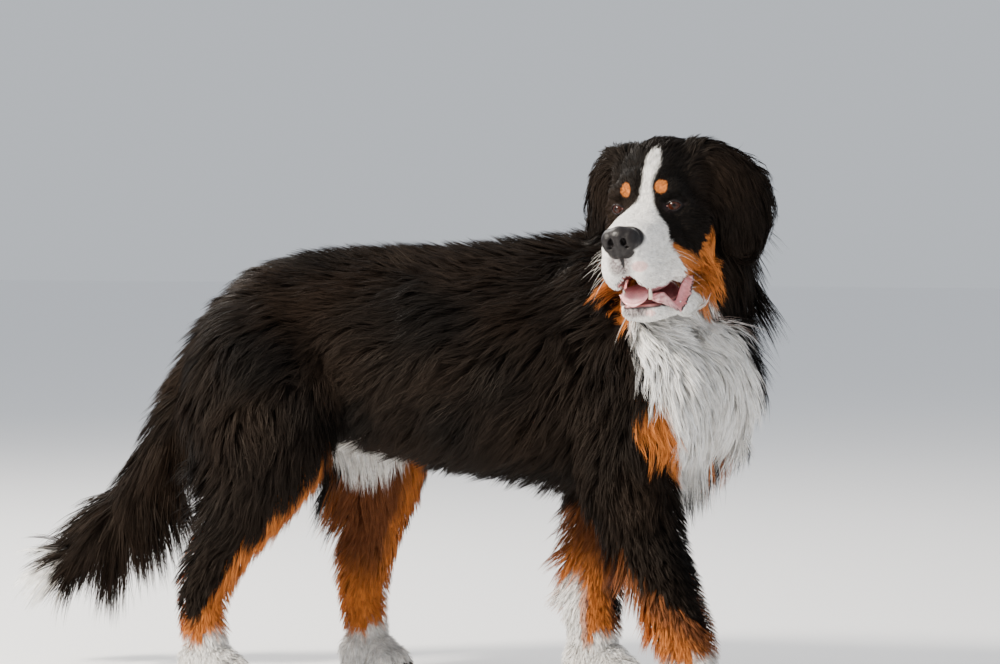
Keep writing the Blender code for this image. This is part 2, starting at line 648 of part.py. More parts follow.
def upper_head():
    head = fused("head", skull(CORE_SHARE), 0.0042, 8)
    nudge(head, FACE_BRUSHES + mirrored(FACE_BRUSH_PAIRS))
    thinned(head, 1400)
    return head


def nose():
    forms = [blob("form", centre, reach, turn) for centre, reach, turn in NOSE_FORMS + mirrored(NOSE_PAIRS)]
    obj = thinned(fused("nose", forms, 0.002, 3), 150)
    cuts = [blob("nostril", centre, reach, turn, rings=6) for centre, reach, turn in mirrored_turn(NOSTRILS)]
    return boolean(obj, cuts, "DIFFERENCE")


def mirrored_turn(rows):
    """The rows, and again on the other side with their heading turned over."""
    other = [((x, -y, z), reach, (-a, b, -c)) for (x, y, z), reach, (a, b, c) in rows]
    return list(rows) + other


def lower_jaw():
    forms = [profile("jaw", JAW, 2.4)]
    forms += [blob("form", centre, reach, turn) for centre, reach, turn in JAW_FORMS + mirrored(JAW_PAIRS)]
    jaw = fused("lower_jaw", forms, 0.0035, 3)
    nudge(jaw, JAW_BRUSHES)
    thinned(jaw, 320)
    for (x, y, z), high, radius in mirrored(TEETH):
        tooth = spike("tooth", Vector((x, y, z)), Vector((x + 0.25, y * 1.04, z + high)), radius)
        boolean(jaw, [tooth], "UNION")
    return jaw


def tongue():
    rows = smooth_rows(TONGUE, 2)
    rings = []
    for x, z, wide, thick in rows:
        centre = Vector((x, 0, z)) * CM
        half = thick * CM
        points = ring(centre, Vector((0, 1, 0)), Vector((0, 0, 1)), half, half, wide * CM, 2.4, 10)
        for point in points:
            point.z += TONGUE_CUP * CM * (point.y / (wide * CM)) ** 2
        rings.append(points)
    return skinned("tongue", rings)


def ear(side):
    """A hanging ear: a flap that leaves the head outward, folds over and hangs, hollow towards the head."""
    columns = 7
    flare = math.radians(EAR_FLARE)
    across_flap = Vector((-math.cos(flare), math.sin(flare), 0))
    outward = Vector((math.sin(flare), math.cos(flare), 0))
    rows = smooth_rows(EAR, 2)
    middles = [Vector(row[:3]) for row in rows]
    outer, inner = [], []
    for i, (_, _, _, wide, hollow, thick) in enumerate(rows):
        hang = (middles[min(i + 1, len(rows) - 1)] - middles[max(i - 1, 0)]).normalized()
        face = (outward - hang * hang.dot(outward)).normalized() if abs(hang.z) > 0.6 else Vector((0, 0, 1))
        for k in range(columns):
            across = 2 * k / (columns - 1) - 1
            middle = middles[i] + across_flap * (across * wide) - face * (hollow * (across**2 - 0.35))
            half = face * (thick / 2 * (1 - 0.75 * abs(across) ** 3))
            outer.append(middle + half)
            inner.append(middle - half)
    points = [Vector((p.x, p.y * side, p.z)) * CM for p in outer + inner]
    count = len(outer)
    faces = []
    for i in range(len(rows) - 1):
        for k in range(columns - 1):
            a = i * columns + k
            quad = (a, a + 1, a + columns + 1, a + columns)
            faces.append(quad)
            faces.append(tuple(count + v for v in reversed(quad)))
    rim = [i * columns for i in range(len(rows))]
    rim += [(len(rows) - 1) * columns + k for k in range(1, columns)]
    rim += [i * columns + columns - 1 for i in range(len(rows) - 2, -1, -1)]
    rim += list(range(columns - 2, 0, -1))
    for a, b in zip(rim, rim[1:] + rim[:1]):
        faces.append((a, b, count + b, count + a))
    obj = object_of("ear_left" if side > 0 else "ear_right", points, faces)
    bm = bmesh.new()
    bm.from_mesh(obj.data)
    bmesh.ops.recalc_face_normals(bm, faces=bm.faces)
    bmesh.ops.triangulate(bm, faces=bm.faces)
    bm.to_mesh(obj.data)
    bm.free()
    return obj


def head_parts():
    """The head's nodes, each cut clear of those it touches."""
    head = upper_head()
    pair = eyes()
    lids(head)
    nape = box("nape", (HEAD_BACK - 10, 0, 0), (10, 20, 20))
    boolean(head, [nape], "DIFFERENCE")
    mouth = profile("mouth", MOUTH, 2.2, 10, 1)
    boolean(head, [mouth], "DIFFERENCE")
    boolean(head, [copied("socket", eye, GAP) for eye in pair], "DIFFERENCE")
    snout = nose()
    boolean(snout, [copied("bed", head, GAP)], "DIFFERENCE")
    jaw = lower_jaw()
    boolean(jaw, [copied("bed", head, GAP)], "DIFFERENCE")
    lick = tongue()
    boolean(lick, [copied("bed", jaw, GAP), copied("bed", head, GAP)], "DIFFERENCE")
    ears = [ear(1), ear(-1)]
    for flap in ears:
        boolean(flap, [copied("bed", head, GAP)], "DIFFERENCE")
    made = [head, snout, jaw, lick, *pair, *ears]
    for obj in made:
        largest_piece(obj)
        moved(obj, head_frame())
    return made


# Legs, torso, neck and tail


def cell(rows, coat_share, dome):
    """A plain convex form round a stretch of a limb, for cutting it from the body."""
    obj = limb("cell", rows, 2.0, coat_share, dome, CELL_SIDES, 1)
    bm = bmesh.new()
    bm.from_mesh(obj.data)
    hull = bmesh.ops.convex_hull(bm, input=bm.verts)
    spare = [v for v in hull["geom_interior"] if isinstance(v, bmesh.types.BMVert)]
    bmesh.ops.delete(bm, geom=spare, context="VERTS")
    kept = set(hull["geom"])
    bmesh.ops.delete(bm, geom=[f for f in bm.faces if f not in kept], context="FACES_ONLY")
    bmesh.ops.delete(bm, geom=[e for e in bm.edges if not e.link_faces], context="EDGES")
    bmesh.ops.recalc_face_normals(bm, faces=bm.faces)
    bm.to_mesh(obj.data)
    bm.free()
    return obj


def take(parts, whole, name, around):
    """Takes what lies inside a closed form out of whole, as a part with a gap round it."""
    inside = copied(name, whole)
    wider = copied("cell", around, GAP)
    boolean(inside, [around], "INTERSECT")
    boolean(whole, [wider], "DIFFERENCE")
    largest_piece(whole)
    parts[name] = largest_piece(inside)


def body_parts(beside):
    """The body's nodes, cut from one form that carries the paws, clear of the parts beside it."""
    whole = thinned(body(CORE_SHARE, 0.008, 6), BODY_TRIANGLES)
    boolean(whole, [paw("paw", place, name.startswith("hind")) for name, place in PAWS.items()], "UNION")
    boolean(whole, [copied("bed", obj, GAP) for obj in beside], "DIFFERENCE")
    largest_piece(whole)
    parts = {}
    for name, (x, y) in PAWS.items():
        end, side = name.split("_")
        ankle = box("ankle", (x, y, ANKLE - 10), (10, 8, 10))
        take(parts, whole, end + "paw_" + side, ankle)
    for name in PAWS:
        end, side = name.split("_")
        rows, power = TUBES[name]
        if end == "hind":
            take(parts, whole, "shank_" + side, cell(rows[5:], 1.6, 1.0))
            take(parts, whole, "thigh_" + side, cell(rows[1:6], 1.4, 0.5))
        else:
            take(parts, whole, "foreleg_" + side, cell(rows[4:], 1.5, 0.5))
            take(parts, whole, "upper_arm_" + side, cell(rows[2:5], 1.4, 0.5))
    take(parts, whole, "tail", cell(TAIL[1:], 1.6, 0.7))
    lean = Matrix.Rotation(math.radians(NECK_LEAN), 4, "Y")
    rise = Vector((math.sin(math.radians(NECK_LEAN)), 0, math.cos(math.radians(NECK_LEAN))))
    take(parts, whole, "neck", box("above", Vector(NECK_BASE) + rise * 30, (45, 45, 30), lean))
    whole.name = "torso"
    parts["torso"] = whole
    return parts


# Locks


def tree(obj):
    bm = bmesh.new()
    bm.from_mesh(obj.data)
    made = BVHTree.FromBMesh(bm)
    bm.free()
    return made


def lock(path, faces, width):
    """A flat tapered lock along a path, with the direction out of the coat at each of its points."""
    rings = []
    for k in range(len(path) - 1):
        along = (path[min(k + 1, len(path) - 1)] - path[max(k - 1, 0)]).normalized()
        side = along.cross(faces[k]).normalized()
        out = side.cross(along)
        half = width / 2 * LOCK_TAPER[k]
        thick = max(half * LOCK_FLATNESS, 0.003)
        rings.append([path[k] + side * half, path[k] + out * thick, path[k] - side * half])
    return skinned("lock", rings, path[-1])


def laid(surface, root, heading, length, rise, cling, sag, bend, roll):
    """The path of a lock from root, over the surface or free of it, and the outward directions along it."""
    near, face, _, _ = surface.find_nearest(root)
    across = heading.cross(face).normalized()
    path = [near - face * (ROOT_DEPTH * CM)]
    faces = [face]
    at = near
    step = length / len(LOCK_TAPER)
    for k in range(1, len(LOCK_TAPER) + 1):
        share = k / len(LOCK_TAPER)
        heading = (heading + Vector((0, 0, -sag)) * share + across * bend * share).normalized()
        guess = at + heading * step
        near, here, _, _ = surface.find_nearest(guess)
        if (guess - near).dot(here) < 0:
            guess = near
        at = guess.lerp(near, cling)
        face = (face + here * cling).normalized()
        lifted = at + face * (rise * share**0.6)
        lifted.z = max(lifted.z, LOWEST_TIP * CM)
        path.append(lifted)
        faces.append(face)
    turn = math.radians(roll)
    return path, [face * math.cos(turn) + across * math.sin(turn) for face in faces]


def spread(first, last, count):
    if count == 1:
        return [(first + last) / 2]
    return [first + (last - first) * k / (count - 1) for k in range(count)]


class Thicket:
    """The locks placed so far and the nodes round them, to keep each new lock clear of them."""

    def __init__(self, nodes):
        self.cores = {obj.name: tree(obj) for obj in nodes}
        self.locks = []

    def owner(self, point):
        near = {name: core.find_nearest(point)[3] for name, core in self.cores.items()}
        name = min(near, key=near.get)
        return name if near[name] < OWNER_REACH * CM else None

    def clear(self, obj, owner):
        """Whether a lock crosses no other lock and no core but its owner's; keeps it if so."""
        own = tree(obj)
        low, high = extent(obj)
        for name, core in self.cores.items():
            if name != owner and own.overlap(core):
                return False
        for other_low, other_high, other in self.locks:
            if np.all(low <= other_high) and np.all(other_low <= high) and own.overlap(other):
                return False
        self.locks.append((low, high, own))
        return True


def body_locks(thicket, surface):
    """The long coat, region by region, with each lock given to the node that it grows from."""
    draw = np.random.default_rng(5)
    grown = {}
    for tube, rows, turns, lie, length, width, rise, cling, sag, roll in LOCKS:
        for i, at in enumerate(spread(*rows)):
            for angle in spread(*turns):
                shift = (i % 2 - 0.5) * (turns[1] - turns[0]) / max(turns[2], 2) * 0.5
                place = max(at + draw.uniform(-0.15, 0.15), 0)
                root, along, out = on_limb(tube, place, angle + shift + draw.uniform(-4, 4), CORE_SHARE)
                heading = (along * lie[0] + out * lie[1] + Vector((0, 0, -lie[2]))).normalized()
                size = draw.uniform(0.85, 1.15)
                bend = draw.uniform(-0.2, 0.2)
                twist = roll + draw.uniform(-12, 12)
                owner = thicket.owner(root)
                if owner is None or "paw" in owner:
                    continue
                for shorter, lift in LOCK_TRIES:
                    long = length * size * shorter * CM
                    high = (rise + lift) * CM
                    path, faces = laid(surface, root, heading, long, high, cling, sag, bend, twist)
                    made = lock(path, faces, width * size * CM)
                    if thicket.clear(made, owner):
                        grown.setdefault(owner, []).append(made)
                        break
                    bpy.data.objects.remove(made)
    return grown


def ear_locks(thicket, side):
    """Locks that hang from an ear's rear edge and tip."""
    flare = math.radians(EAR_FLARE)
    across_flap = Vector((-math.cos(flare), math.sin(flare), 0))
    outward = Vector((math.sin(flare), math.cos(flare), 0))
    frame = head_frame()
    made = []
    for at, across, length in EAR_LOCKS:
        row = smooth_rows(EAR, 2)[at]
        root = Vector(row[:3]) + across_flap * (across * row[3]) - outward * (0.6 * row[4] * across**2)
        heading = (across_flap * (0.5 * across) + Vector((0, 0, -1))).normalized()
        path = [root - heading * 1.2]
        for share in (0.35, 0.7, 1.0):
            aside = outward * 0.5 + across_flap * across
            path.append(root + heading * (length * share) + aside * share)
        path = [frame @ (Vector((p.x, p.y * side, p.z)) * CM) for p in path]
        face = (frame.to_3x3() @ Vector((outward.x, outward.y * side, 0))).normalized()
        hair = lock(path, [face] * len(path), EAR_LOCK_WIDTH * CM)
        if thicket.clear(hair, "ear_left" if side > 0 else "ear_right"):
            made.append(hair)
        else:
            bpy.data.objects.remove(hair)
    return made


def coat(parts, head_nodes):
    """Joins the locks to their nodes."""
    nodes = {obj.name: obj for obj in [*head_nodes, *parts.values()]}
    thicket = Thicket(nodes.values())
    grown = {"ear_left": ear_locks(thicket, 1), "ear_right": ear_locks(thicket, -1)}
    surface = body(CORE_SHARE, 0.01, 6)
    grown.update(body_locks(thicket, tree(surface)))
    bpy.data.objects.remove(surface)
    for name, locks in grown.items():
        if locks:
            largest_piece(boolean(nodes[name], locks, "UNION"))


def extent(obj):
    points = np.array([v.co for v in obj.data.vertices])
    return points.min(0), points.max(0)


def paint(obj, colour, roughness):
    material = bpy.data.materials.new(obj.name)
    material.use_nodes = True
    shader = material.node_tree.nodes["Principled BSDF"]
    shader.inputs["Base Color"].default_value = (*colour, 1)
    shader.inputs["Roughness"].default_value = roughness
    shader.inputs["Metallic"].default_value = 0.0
    obj.data.materials.clear()
    obj.data.materials.append(material)
    obj.data.shade_smooth()
    obj.data.set_sharp_from_angle(angle=math.radians(50))


def main():
    clear_scene()
    head_nodes = head_parts()
    parts = body_parts(head_nodes)
    coat(parts, head_nodes)
    for obj in [*head_nodes, *parts.values()]:
        moved(obj, Matrix.Translation(Vector((-CENTRE[0], -CENTRE[1], 0)) * CM))
        paint(obj, *COLOURS.get(obj.name, BLACK_COAT))


main()
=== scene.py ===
import math

import bmesh
import bpy
import numpy as np
from mathutils import Matrix, Vector
from mathutils.bvhtree import BVHTree
from mathutils.kdtree import KDTree


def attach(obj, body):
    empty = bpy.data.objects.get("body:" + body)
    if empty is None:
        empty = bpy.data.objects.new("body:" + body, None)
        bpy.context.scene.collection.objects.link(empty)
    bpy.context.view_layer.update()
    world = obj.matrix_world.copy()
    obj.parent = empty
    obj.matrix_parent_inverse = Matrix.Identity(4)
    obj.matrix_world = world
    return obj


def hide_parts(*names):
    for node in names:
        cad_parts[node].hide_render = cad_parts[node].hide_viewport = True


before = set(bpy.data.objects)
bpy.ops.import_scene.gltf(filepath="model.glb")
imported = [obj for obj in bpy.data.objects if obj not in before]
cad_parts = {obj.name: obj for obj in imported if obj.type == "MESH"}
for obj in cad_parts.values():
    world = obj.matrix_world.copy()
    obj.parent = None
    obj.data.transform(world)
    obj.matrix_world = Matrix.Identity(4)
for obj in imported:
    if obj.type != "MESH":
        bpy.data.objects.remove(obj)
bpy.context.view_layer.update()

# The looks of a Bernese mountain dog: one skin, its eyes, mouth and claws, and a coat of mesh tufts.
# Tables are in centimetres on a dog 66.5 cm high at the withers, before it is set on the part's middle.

CM = 0.01
# How far the dog's own frame lies from the part's, and the finer rows between a table's rows
SHIFT = np.array((8.2, 2.6, 0.0)) * CM
STEPS = 4
RING_SIDES = 28
BODY_VOXEL = 0.008
HEAD_VOXEL = 0.0017
PAW_VOXEL = 0.0026

# The camera, in the part's frame before it is centred
CAMERA_HEADING = 24
CAMERA_DISTANCE = 6.5
CAMERA_ASIDE = 0.0923
CAMERA_HEIGHT = 0.738
CAMERA_LENS = 152.1
CAMERA_SHIFT = -0.127

# x, y, z, then the skin's reach to the plus side, the minus side and sideways, then the coat's depth there
TORSO = (
    (-35, 0, 52.0, 5.0, 5.0, 6.5, 3.0, 3.0, 3.0),
    (-30, 0, 52.4, 9.4, 9.4, 10.5, 3.0, 3.0, 3.0),
    (-23, 0, 52.6, 11.6, 11.6, 12.5, 3.0, 3.5, 3.2),
    (-14, 0, 52.5, 12.5, 12.5, 12.5, 3.0, 5.0, 3.4),
    (-4, 0, 51.5, 13.9, 14.0, 13.2, 3.0, 5.0, 3.6),
    (6, 0, 50.7, 15.1, 15.1, 14.6, 3.0, 4.0, 3.8),
    (16, 0, 50.4, 16.2, 16.2, 15.2, 3.0, 4.0, 4.0),
    (25, 0, 50.7, 16.7, 16.7, 14.6, 3.0, 4.0, 4.0),
    (33, -1, 50.5, 15.0, 15.0, 13.0, 3.0, 5.0, 4.5),
    (39.5, -1.5, 49.0, 12.0, 12.5, 10.5, 3.0, 6.0, 5.5),
    (44.5, -2.5, 48.0, 7.0, 8.0, 7.5, 3.0, 6.0, 6.5),
)
NECK = (
    (25, 0, 52.0, 13.0, 13.0, 11.5, 3.0, 6.0, 4.5),
    (31, 0, 56.5, 11.5, 12.5, 11.0, 3.5, 7.0, 5.5),
    (36.5, -1.5, 62.5, 10.0, 11.5, 10.0, 3.5, 7.0, 6.0),
    (40.5, -3.5, 68.5, 9.0, 9.5, 9.0, 3.0, 6.0, 5.5),
    (41.0, -5.0, 74.0, 6.8, 6.0, 7.0, 2.5, 3.0, 3.0),
)
TAIL = (
    (-31, 0, 57.5, 3.6, 3.6, 3.2, 3.0, 3.0, 3.0),
    (-38.5, 0, 51.5, 2.8, 2.8, 2.6, 4.5, 3.5, 3.5),
    (-44.0, 0, 43.5, 2.3, 2.3, 2.1, 6.5, 3.0, 3.8),
    (-49.0, 0, 34.5, 2.0, 2.0, 1.8, 9.5, 2.6, 4.2),
    (-54.5, 0, 27.2, 1.7, 1.7, 1.6, 11.5, 2.6, 4.4),
    (-60.0, 0, 21.4, 1.5, 1.5, 1.4, 9.0, 2.6, 4.2),
    (-65.5, 0, 17.0, 1.2, 1.2, 1.1, 4.8, 2.2, 3.4),
    (-69.5, 0, 14.3, 0.8, 0.8, 0.8, 2.2, 1.4, 2.0),
)
HIND_RIGHT = (
    (-22, -6, 57.0, 8.0, 8.0, 6.0, 2.5, 3.0, 3.0),
    (-24, -9, 50.0, 10.5, 11.5, 7.5, 2.5, 5.0, 3.2),
    (-24, -11.5, 42.5, 11.0, 11.0, 7.0, 2.5, 6.5, 3.2),
    (-23.5, -12.5, 36.0, 8.5, 8.0, 6.0, 2.2, 7.5, 3.0),
    (-26, -12.5, 29.0, 5.4, 5.6, 4.6, 2.0, 7.0, 2.6),
    (-30.0, -12.3, 22.5, 3.8, 4.0, 3.5, 1.8, 4.8, 2.2),
    (-33.4, -12.1, 17.0, 3.2, 3.6, 3.0, 1.6, 2.4, 1.8),
    (-34.8, -12.0, 11.8, 2.8, 2.8, 2.7, 1.6, 1.8, 1.6),
    (-34.4, -12.0, 6.5, 2.8, 2.5, 2.8, 1.0, 1.2, 1.0),
    (-33.5, -12.0, 4.0, 2.6, 2.4, 3.0, 0.8, 0.8, 0.8),
)
HIND_LEFT = (
    (-22, 6, 57.0, 8.0, 8.0, 6.0, 2.5, 3.0, 3.0),
    (-22, 9, 50.0, 10.5, 11.0, 7.5, 2.5, 5.0, 3.2),
    (-19, 11.5, 42.5, 11.0, 10.5, 7.0, 2.5, 6.5, 3.2),
    (-16.5, 12.5, 36.0, 8.0, 8.0, 6.0, 2.2, 7.0, 3.0),
    (-16.3, 12.5, 29.0, 5.4, 5.6, 4.6, 1.6, 6.0, 2.6),
    (-17.2, 12.3, 22.5, 3.8, 4.0, 3.5, 1.5, 4.5, 2.2),
    (-18.3, 12.1, 17.0, 3.2, 3.6, 3.0, 1.3, 2.4, 1.8),
    (-18.8, 12.0, 11.8, 2.8, 2.8, 2.7, 1.4, 1.6, 1.6),
    (-18.4, 12.0, 6.5, 2.8, 2.5, 2.8, 1.0, 1.2, 1.0),
    (-17.5, 12.0, 4.0, 2.6, 2.4, 3.0, 0.8, 0.8, 0.8),
)
FORE_RIGHT = (
    (29, -8, 62.0, 6.0, 8.0, 5.0, 2.5, 3.0, 3.0),
    (37, -10, 51.0, 8.0, 9.0, 6.5, 3.5, 3.0, 3.5),
    (38.5, -12, 43.0, 8.0, 8.5, 6.5, 3.0, 3.0, 3.2),
    (37.0, -12.8, 35.5, 6.0, 6.5, 5.2, 2.2, 3.5, 2.6),
    (38.8, -12.8, 28.0, 4.6, 5.0, 4.4, 1.8, 4.5, 2.2),
    (41.2, -12.6, 21.5, 3.9, 4.2, 3.9, 1.6, 5.0, 2.0),
    (43.4, -12.4, 15.5, 3.5, 3.6, 3.6, 1.6, 4.8, 1.8),
    (45.2, -12.3, 11.0, 3.4, 3.4, 3.5, 1.6, 3.4, 1.6),
    (46.6, -12.3, 6.5, 3.0, 2.9, 3.3, 1.0, 1.8, 1.0),
    (47.3, -12.3, 4.0, 2.8, 2.6, 3.4, 0.8, 0.8, 0.8),
)
FORE_LEFT = (
    (27, 8, 62.0, 6.0, 8.0, 5.0, 2.5, 3.0, 3.0),
    (32, 10, 51.0, 8.0, 9.0, 6.5, 3.5, 3.0, 3.5),
    (29, 12, 43.0, 8.0, 8.5, 6.5, 3.0, 3.0, 3.2),
    (24.5, 12.8, 35.5, 6.0, 6.5, 5.2, 2.2, 3.5, 2.6),
    (22.8, 12.8, 28.0, 4.6, 5.0, 4.4, 1.8, 4.5, 2.2),
    (21.6, 12.6, 21.5, 3.9, 4.2, 3.9, 1.6, 5.0, 2.0),
    (20.8, 12.4, 15.5, 3.5, 3.6, 3.6, 1.6, 2.6, 1.8),
    (20.4, 12.3, 11.0, 3.4, 3.4, 3.5, 1.6, 1.8, 1.6),
    (20.6, 12.3, 6.5, 3.0, 2.9, 3.3, 1.0, 1.4, 1.0),
    (21.2, 12.3, 4.0, 2.8, 2.6, 3.4, 0.8, 0.8, 0.8),
)
TUBES = {
    "torso": (TORSO, 2.2),
    "neck": (NECK, 2.1),
    "tail": (TAIL, 2.0),
    "hind_right": (HIND_RIGHT, 2.1),
    "hind_left": (HIND_LEFT, 2.1),
    "fore_right": (FORE_RIGHT, 2.1),
    "fore_left": (FORE_LEFT, 2.1),
}
# Each paw's x and y and its size, then its toes' places, ahead and aside, and how high a sole reaches
PAWS = {
    "fore_right": (47.3, -12.3, 1.0),
    "fore_left": (21.4, 12.3, 1.0),
    "hind_right": (-33.4, -12.0, 0.94),
    "hind_left": (-17.4, 12.0, 0.94),
}
TOES = ((2.7, -2.75), (4.0, -0.95), (4.0, 0.95), (2.7, 2.75))
SOLE_HEIGHT = 0.6

# The head's own frame: forward, left and up from the midpoint between the eyes
HEAD_PLACE = (40.8, -16.7, 73.4)
HEAD_TURN = (3.5, 6, -90)
EYE_PLACE = (-1.0, 4.2, 0.0)
EYE_RADIUS = 1.2
EYE_OUTWARD = 20
# The region round the face that has bare skin, as its middle and radius
FACE = ((2, 0, -6), 16)
# x, top, bottom and half width
MUZZLE = (
    (-4.0, 3.0, -8.0, 4.6),
    (0.0, 1.6, -8.6, 4.5),
    (2.5, 0.3, -9.0, 4.4),
    (5.0, -0.7, -9.2, 4.3),
    (8.0, -1.4, -9.0, 3.9),
    (9.6, -2.2, -8.8, 3.3),
    (10.6, -3.4, -8.2, 2.4),
)
# Ellipsoids with their turns, those called pairs on both sides; brushes end with a move instead
SKULL_FORMS = [
    ((-8.4, 0, 0.2), (8.2, 7.4, 9.2), (0, 8, 0)),
    ((-3.4, 0, 1.6), (4.6, 5.7, 4.8), (0, 0, 0)),
    ((-7.0, 0, -5.5), (7.0, 6.2, 5.5), (0, 0, 0)),
    ((-15.0, 0, -1.5), (7.0, 7.2, 7.8), (0, 20, 0)),
]
SKULL_PAIRS = [
    ((-1.6, 3.7, 2.3), (2.3, 2.5, 1.6), (0, 0, 0)),
    ((-2.2, 4.6, -0.2), (2.4, 2.4, 2.6), (0, 0, 0)),
    ((-5.2, 4.6, -3.6), (4.8, 3.5, 5.4), (0, 0, 0)),
    ((-8.4, 5.0, 3.0), (4.6, 3.0, 4.4), (0, 0, 0)),
    ((-1.4, 3.6, -6.4), (4.6, 2.3, 4.2), (0, 0, 0)),
    ((3.6, 2.9, -7.9), (3.8, 1.8, 3.2), (0, 10, 0)),
    ((7.0, 2.3, -7.7), (3.4, 2.1, 3.4), (0, 0, 0)),
    ((0.2, 3.9, -7.6), (3.8, 1.7, 2.9), (0, 6, 0)),
    ((-10.0, 5.6, 6.0), (3.4, 3.0, 2.6), (0, 0, 0)),
    ((-10.8, 6.6, 1.5), (4.6, 3.2, 5.6), (0, 0, 0)),
]
FACE_BRUSHES = [
    ((0.5, 0, 4.2), (3.5, 1.6, 3.5), (-0.5, 0, -0.4)),
    ((10.4, 0, -8.0), (1.2, 0.8, 2.2), (-0.5, 0, 0.4)),
]
FACE_BRUSH_PAIRS = [
    ((0.6, 4.6, 0.0), (2.4, 2.2, 1.7), (-0.5, 0, 0)),
    ((2.0, 3.6, -0.6), (2.2, 2.2, 2.0), (-0.2, 0, -0.5)),
]
NOSE_FORMS = [
    ((10.6, 0, -3.3), (1.6, 2.2, 1.8), (0, 0, 0)),
    ((10.5, 0, -5.0), (1.2, 0.9, 1.4), (0, 0, 0)),
]
NOSE_PAIRS = [
    ((10.4, 1.5, -3.7), (1.6, 1.45, 1.9), (0, 0, 0)),
    ((10.6, 0.95, -5.2), (1.05, 0.95, 0.9), (0, 0, 0)),
]
NOSTRILS = [
    ((12.0, 1.02, -3.8), (1.0, 0.46, 0.66), (0, 0, 12)),
    ((11.7, 1.55, -4.55), (0.9, 0.62, 0.2), (14, 0, 30)),
    ((11.0, 2.35, -4.5), (0.8, 0.62, 0.17), (-24, 0, 50)),
]
NOSE_GROOVE = ((12.3, 0, -4.6), (0.9, 0.14, 2.6), (0, 0, 0))
MOUTH = (
    (-3.5, -9.0, -13.5, 3.6),
    (-1.0, -8.2, -13.5, 4.0),
    (3.0, -7.6, -13.5, 3.2),
    (6.5, -7.4, -13.5, 2.5),
    (8.6, -8.2, -13.5, 1.7),
)
JAW = (
    (-8.5, -7.6, -13.0, 5.0),
    (-5.0, -9.6, -14.4, 5.2),
    (-1.5, -12.2, -15.5, 4.9),
    (2.0, -13.0, -16.1, 4.1),
    (4.4, -13.1, -16.2, 3.3),
    (5.9, -13.3, -15.7, 2.3),
)
JAW_FORMS = [((3.2, 0, -14.8), (2.7, 2.9, 1.6), (0, 0, 0))]
JAW_PAIRS = [((-1.6, 4.7, -14.0), (3.6, 0.9, 1.6), (0, 18, -6))]
JAW_BRUSHES = [((2.0, 0, -12.0), (6.5, 3.0, 3.4), (0, 0, -1.2))]
# x, height of its top, half width, thickness, then how far it lies to the right
TONGUE = (
    (-5.0, -9.8, 2.0, 0.6, 0.0),
    (-1.0, -10.6, 2.4, 0.7, 0.2),
    (2.0, -10.8, 2.4, 0.65, 0.4),
    (4.2, -10.9, 2.3, 0.6, 0.5),
    (5.6, -11.3, 2.2, 0.5, 0.5),
    (6.5, -12.0, 2.1, 0.42, 0.5),
    (6.85, -12.6, 1.7, 0.36, 0.5),
    (6.85, -13.0, 0.9, 0.28, 0.5),
)
TONGUE_CUP = 0.22
TONGUE_GROOVE = 0.14
# The lower lip's inner side, that hangs out: its inner edge and its rim, from the canine to the corner
LIP_ROOT = (
    (5.6, 1.74, -12.3),
    (4.6, 2.71, -12.0),
    (3.4, 3.21, -12.3),
    (2.6, 3.6, -13.2),
    (1.8, 4.0, -13.7),
    (0.9, 4.15, -12.9),
    (-0.1, 4.3, -11.8),
    (-1.1, 4.5, -11.05),
    (-2.0, 4.5, -10.6),
)
LIP_RIM = (
    (5.9, 2.22, -13.1),
    (5.2, 3.2, -13.7),
    (4.3, 4.0, -14.2),
    (3.6, 4.6, -14.9),
    (2.6, 5.2, -15.2),
    (1.5, 5.6, -14.4),
    (0.0, 5.9, -13.0),
    (-1.3, 5.85, -11.7),
    (-2.6, 5.6, -10.65),
)
LIP_SWELL = (0.1, 0.3, 0.35, 0.1, -0.25, -0.3, -0.25, -0.1, 0.0)
# Lower canines and incisors: root, tip and radius at the root
CANINES = (((5.7, 1.8, -12.9), (6.1, 2.0, -11.0), 0.33), ((5.5, -1.9, -12.9), (5.9, -2.3, -11.2), 0.33))
INCISORS_ASIDE = (-1.1, -0.68, -0.24, 0.2, 0.64, 1.08)
INCISORS = tuple(((6.1, y, -12.9), (6.35, y * 1.08, -12.35), 0.2) for y in INCISORS_ASIDE)
# Claws: how far ahead of the toe's place and how high, and the radius there
CLAW = ((2.0, 1.7), (2.9, 1.45), (3.45, 0.75), (3.55, 0.25))
CLAW_RADIUS = (0.42, 0.36, 0.22, 0.05)
# The ear's middle line from root to tip, its half width, its hollow and its thickness
EAR = (
    (-8.2, 6.4, 7.4, 2.6, 0.9, 1.6),
    (-8.6, 8.4, 7.2, 2.7, 1.0, 1.2),
    (-9.2, 10.0, 5.2, 3.5, 1.0, 0.9),
    (-9.8, 11.1, 2.0, 4.4, 0.9, 0.8),
    (-10.0, 11.6, -2.0, 4.4, 0.8, 0.7),
    (-10.0, 11.2, -5.4, 3.2, 0.6, 0.7),
    (-9.8, 10.9, -7.6, 2.0, 0.2, 0.6),
    (-9.7, 10.8, -8.6, 0.9, 0.1, 0.5),
)
EAR_FLARE = 45
EAR_COLUMNS = 11


# Making of meshes


def smooth_rows(rows, steps=STEPS):
    """The rows with Catmull-Rom rows between them."""
    rows = np.array(rows, float)
    padded = np.vstack([2 * rows[0] - rows[1], rows, 2 * rows[-1] - rows[-2]])
    made = []
    for i in range(1, len(rows)):
        before, here, after, beyond = padded[i - 1 : i + 3]
        for t in np.arange(steps) / steps:
            made.append(
                0.5
                * (
                    2 * here
                    + (after - before) * t
                    + (2 * before - 5 * here + 4 * after - beyond) * t**2
                    + (3 * here - before - 3 * after + beyond) * t**3
                )
            )
    made.append(rows[-1])
    return np.array(made)


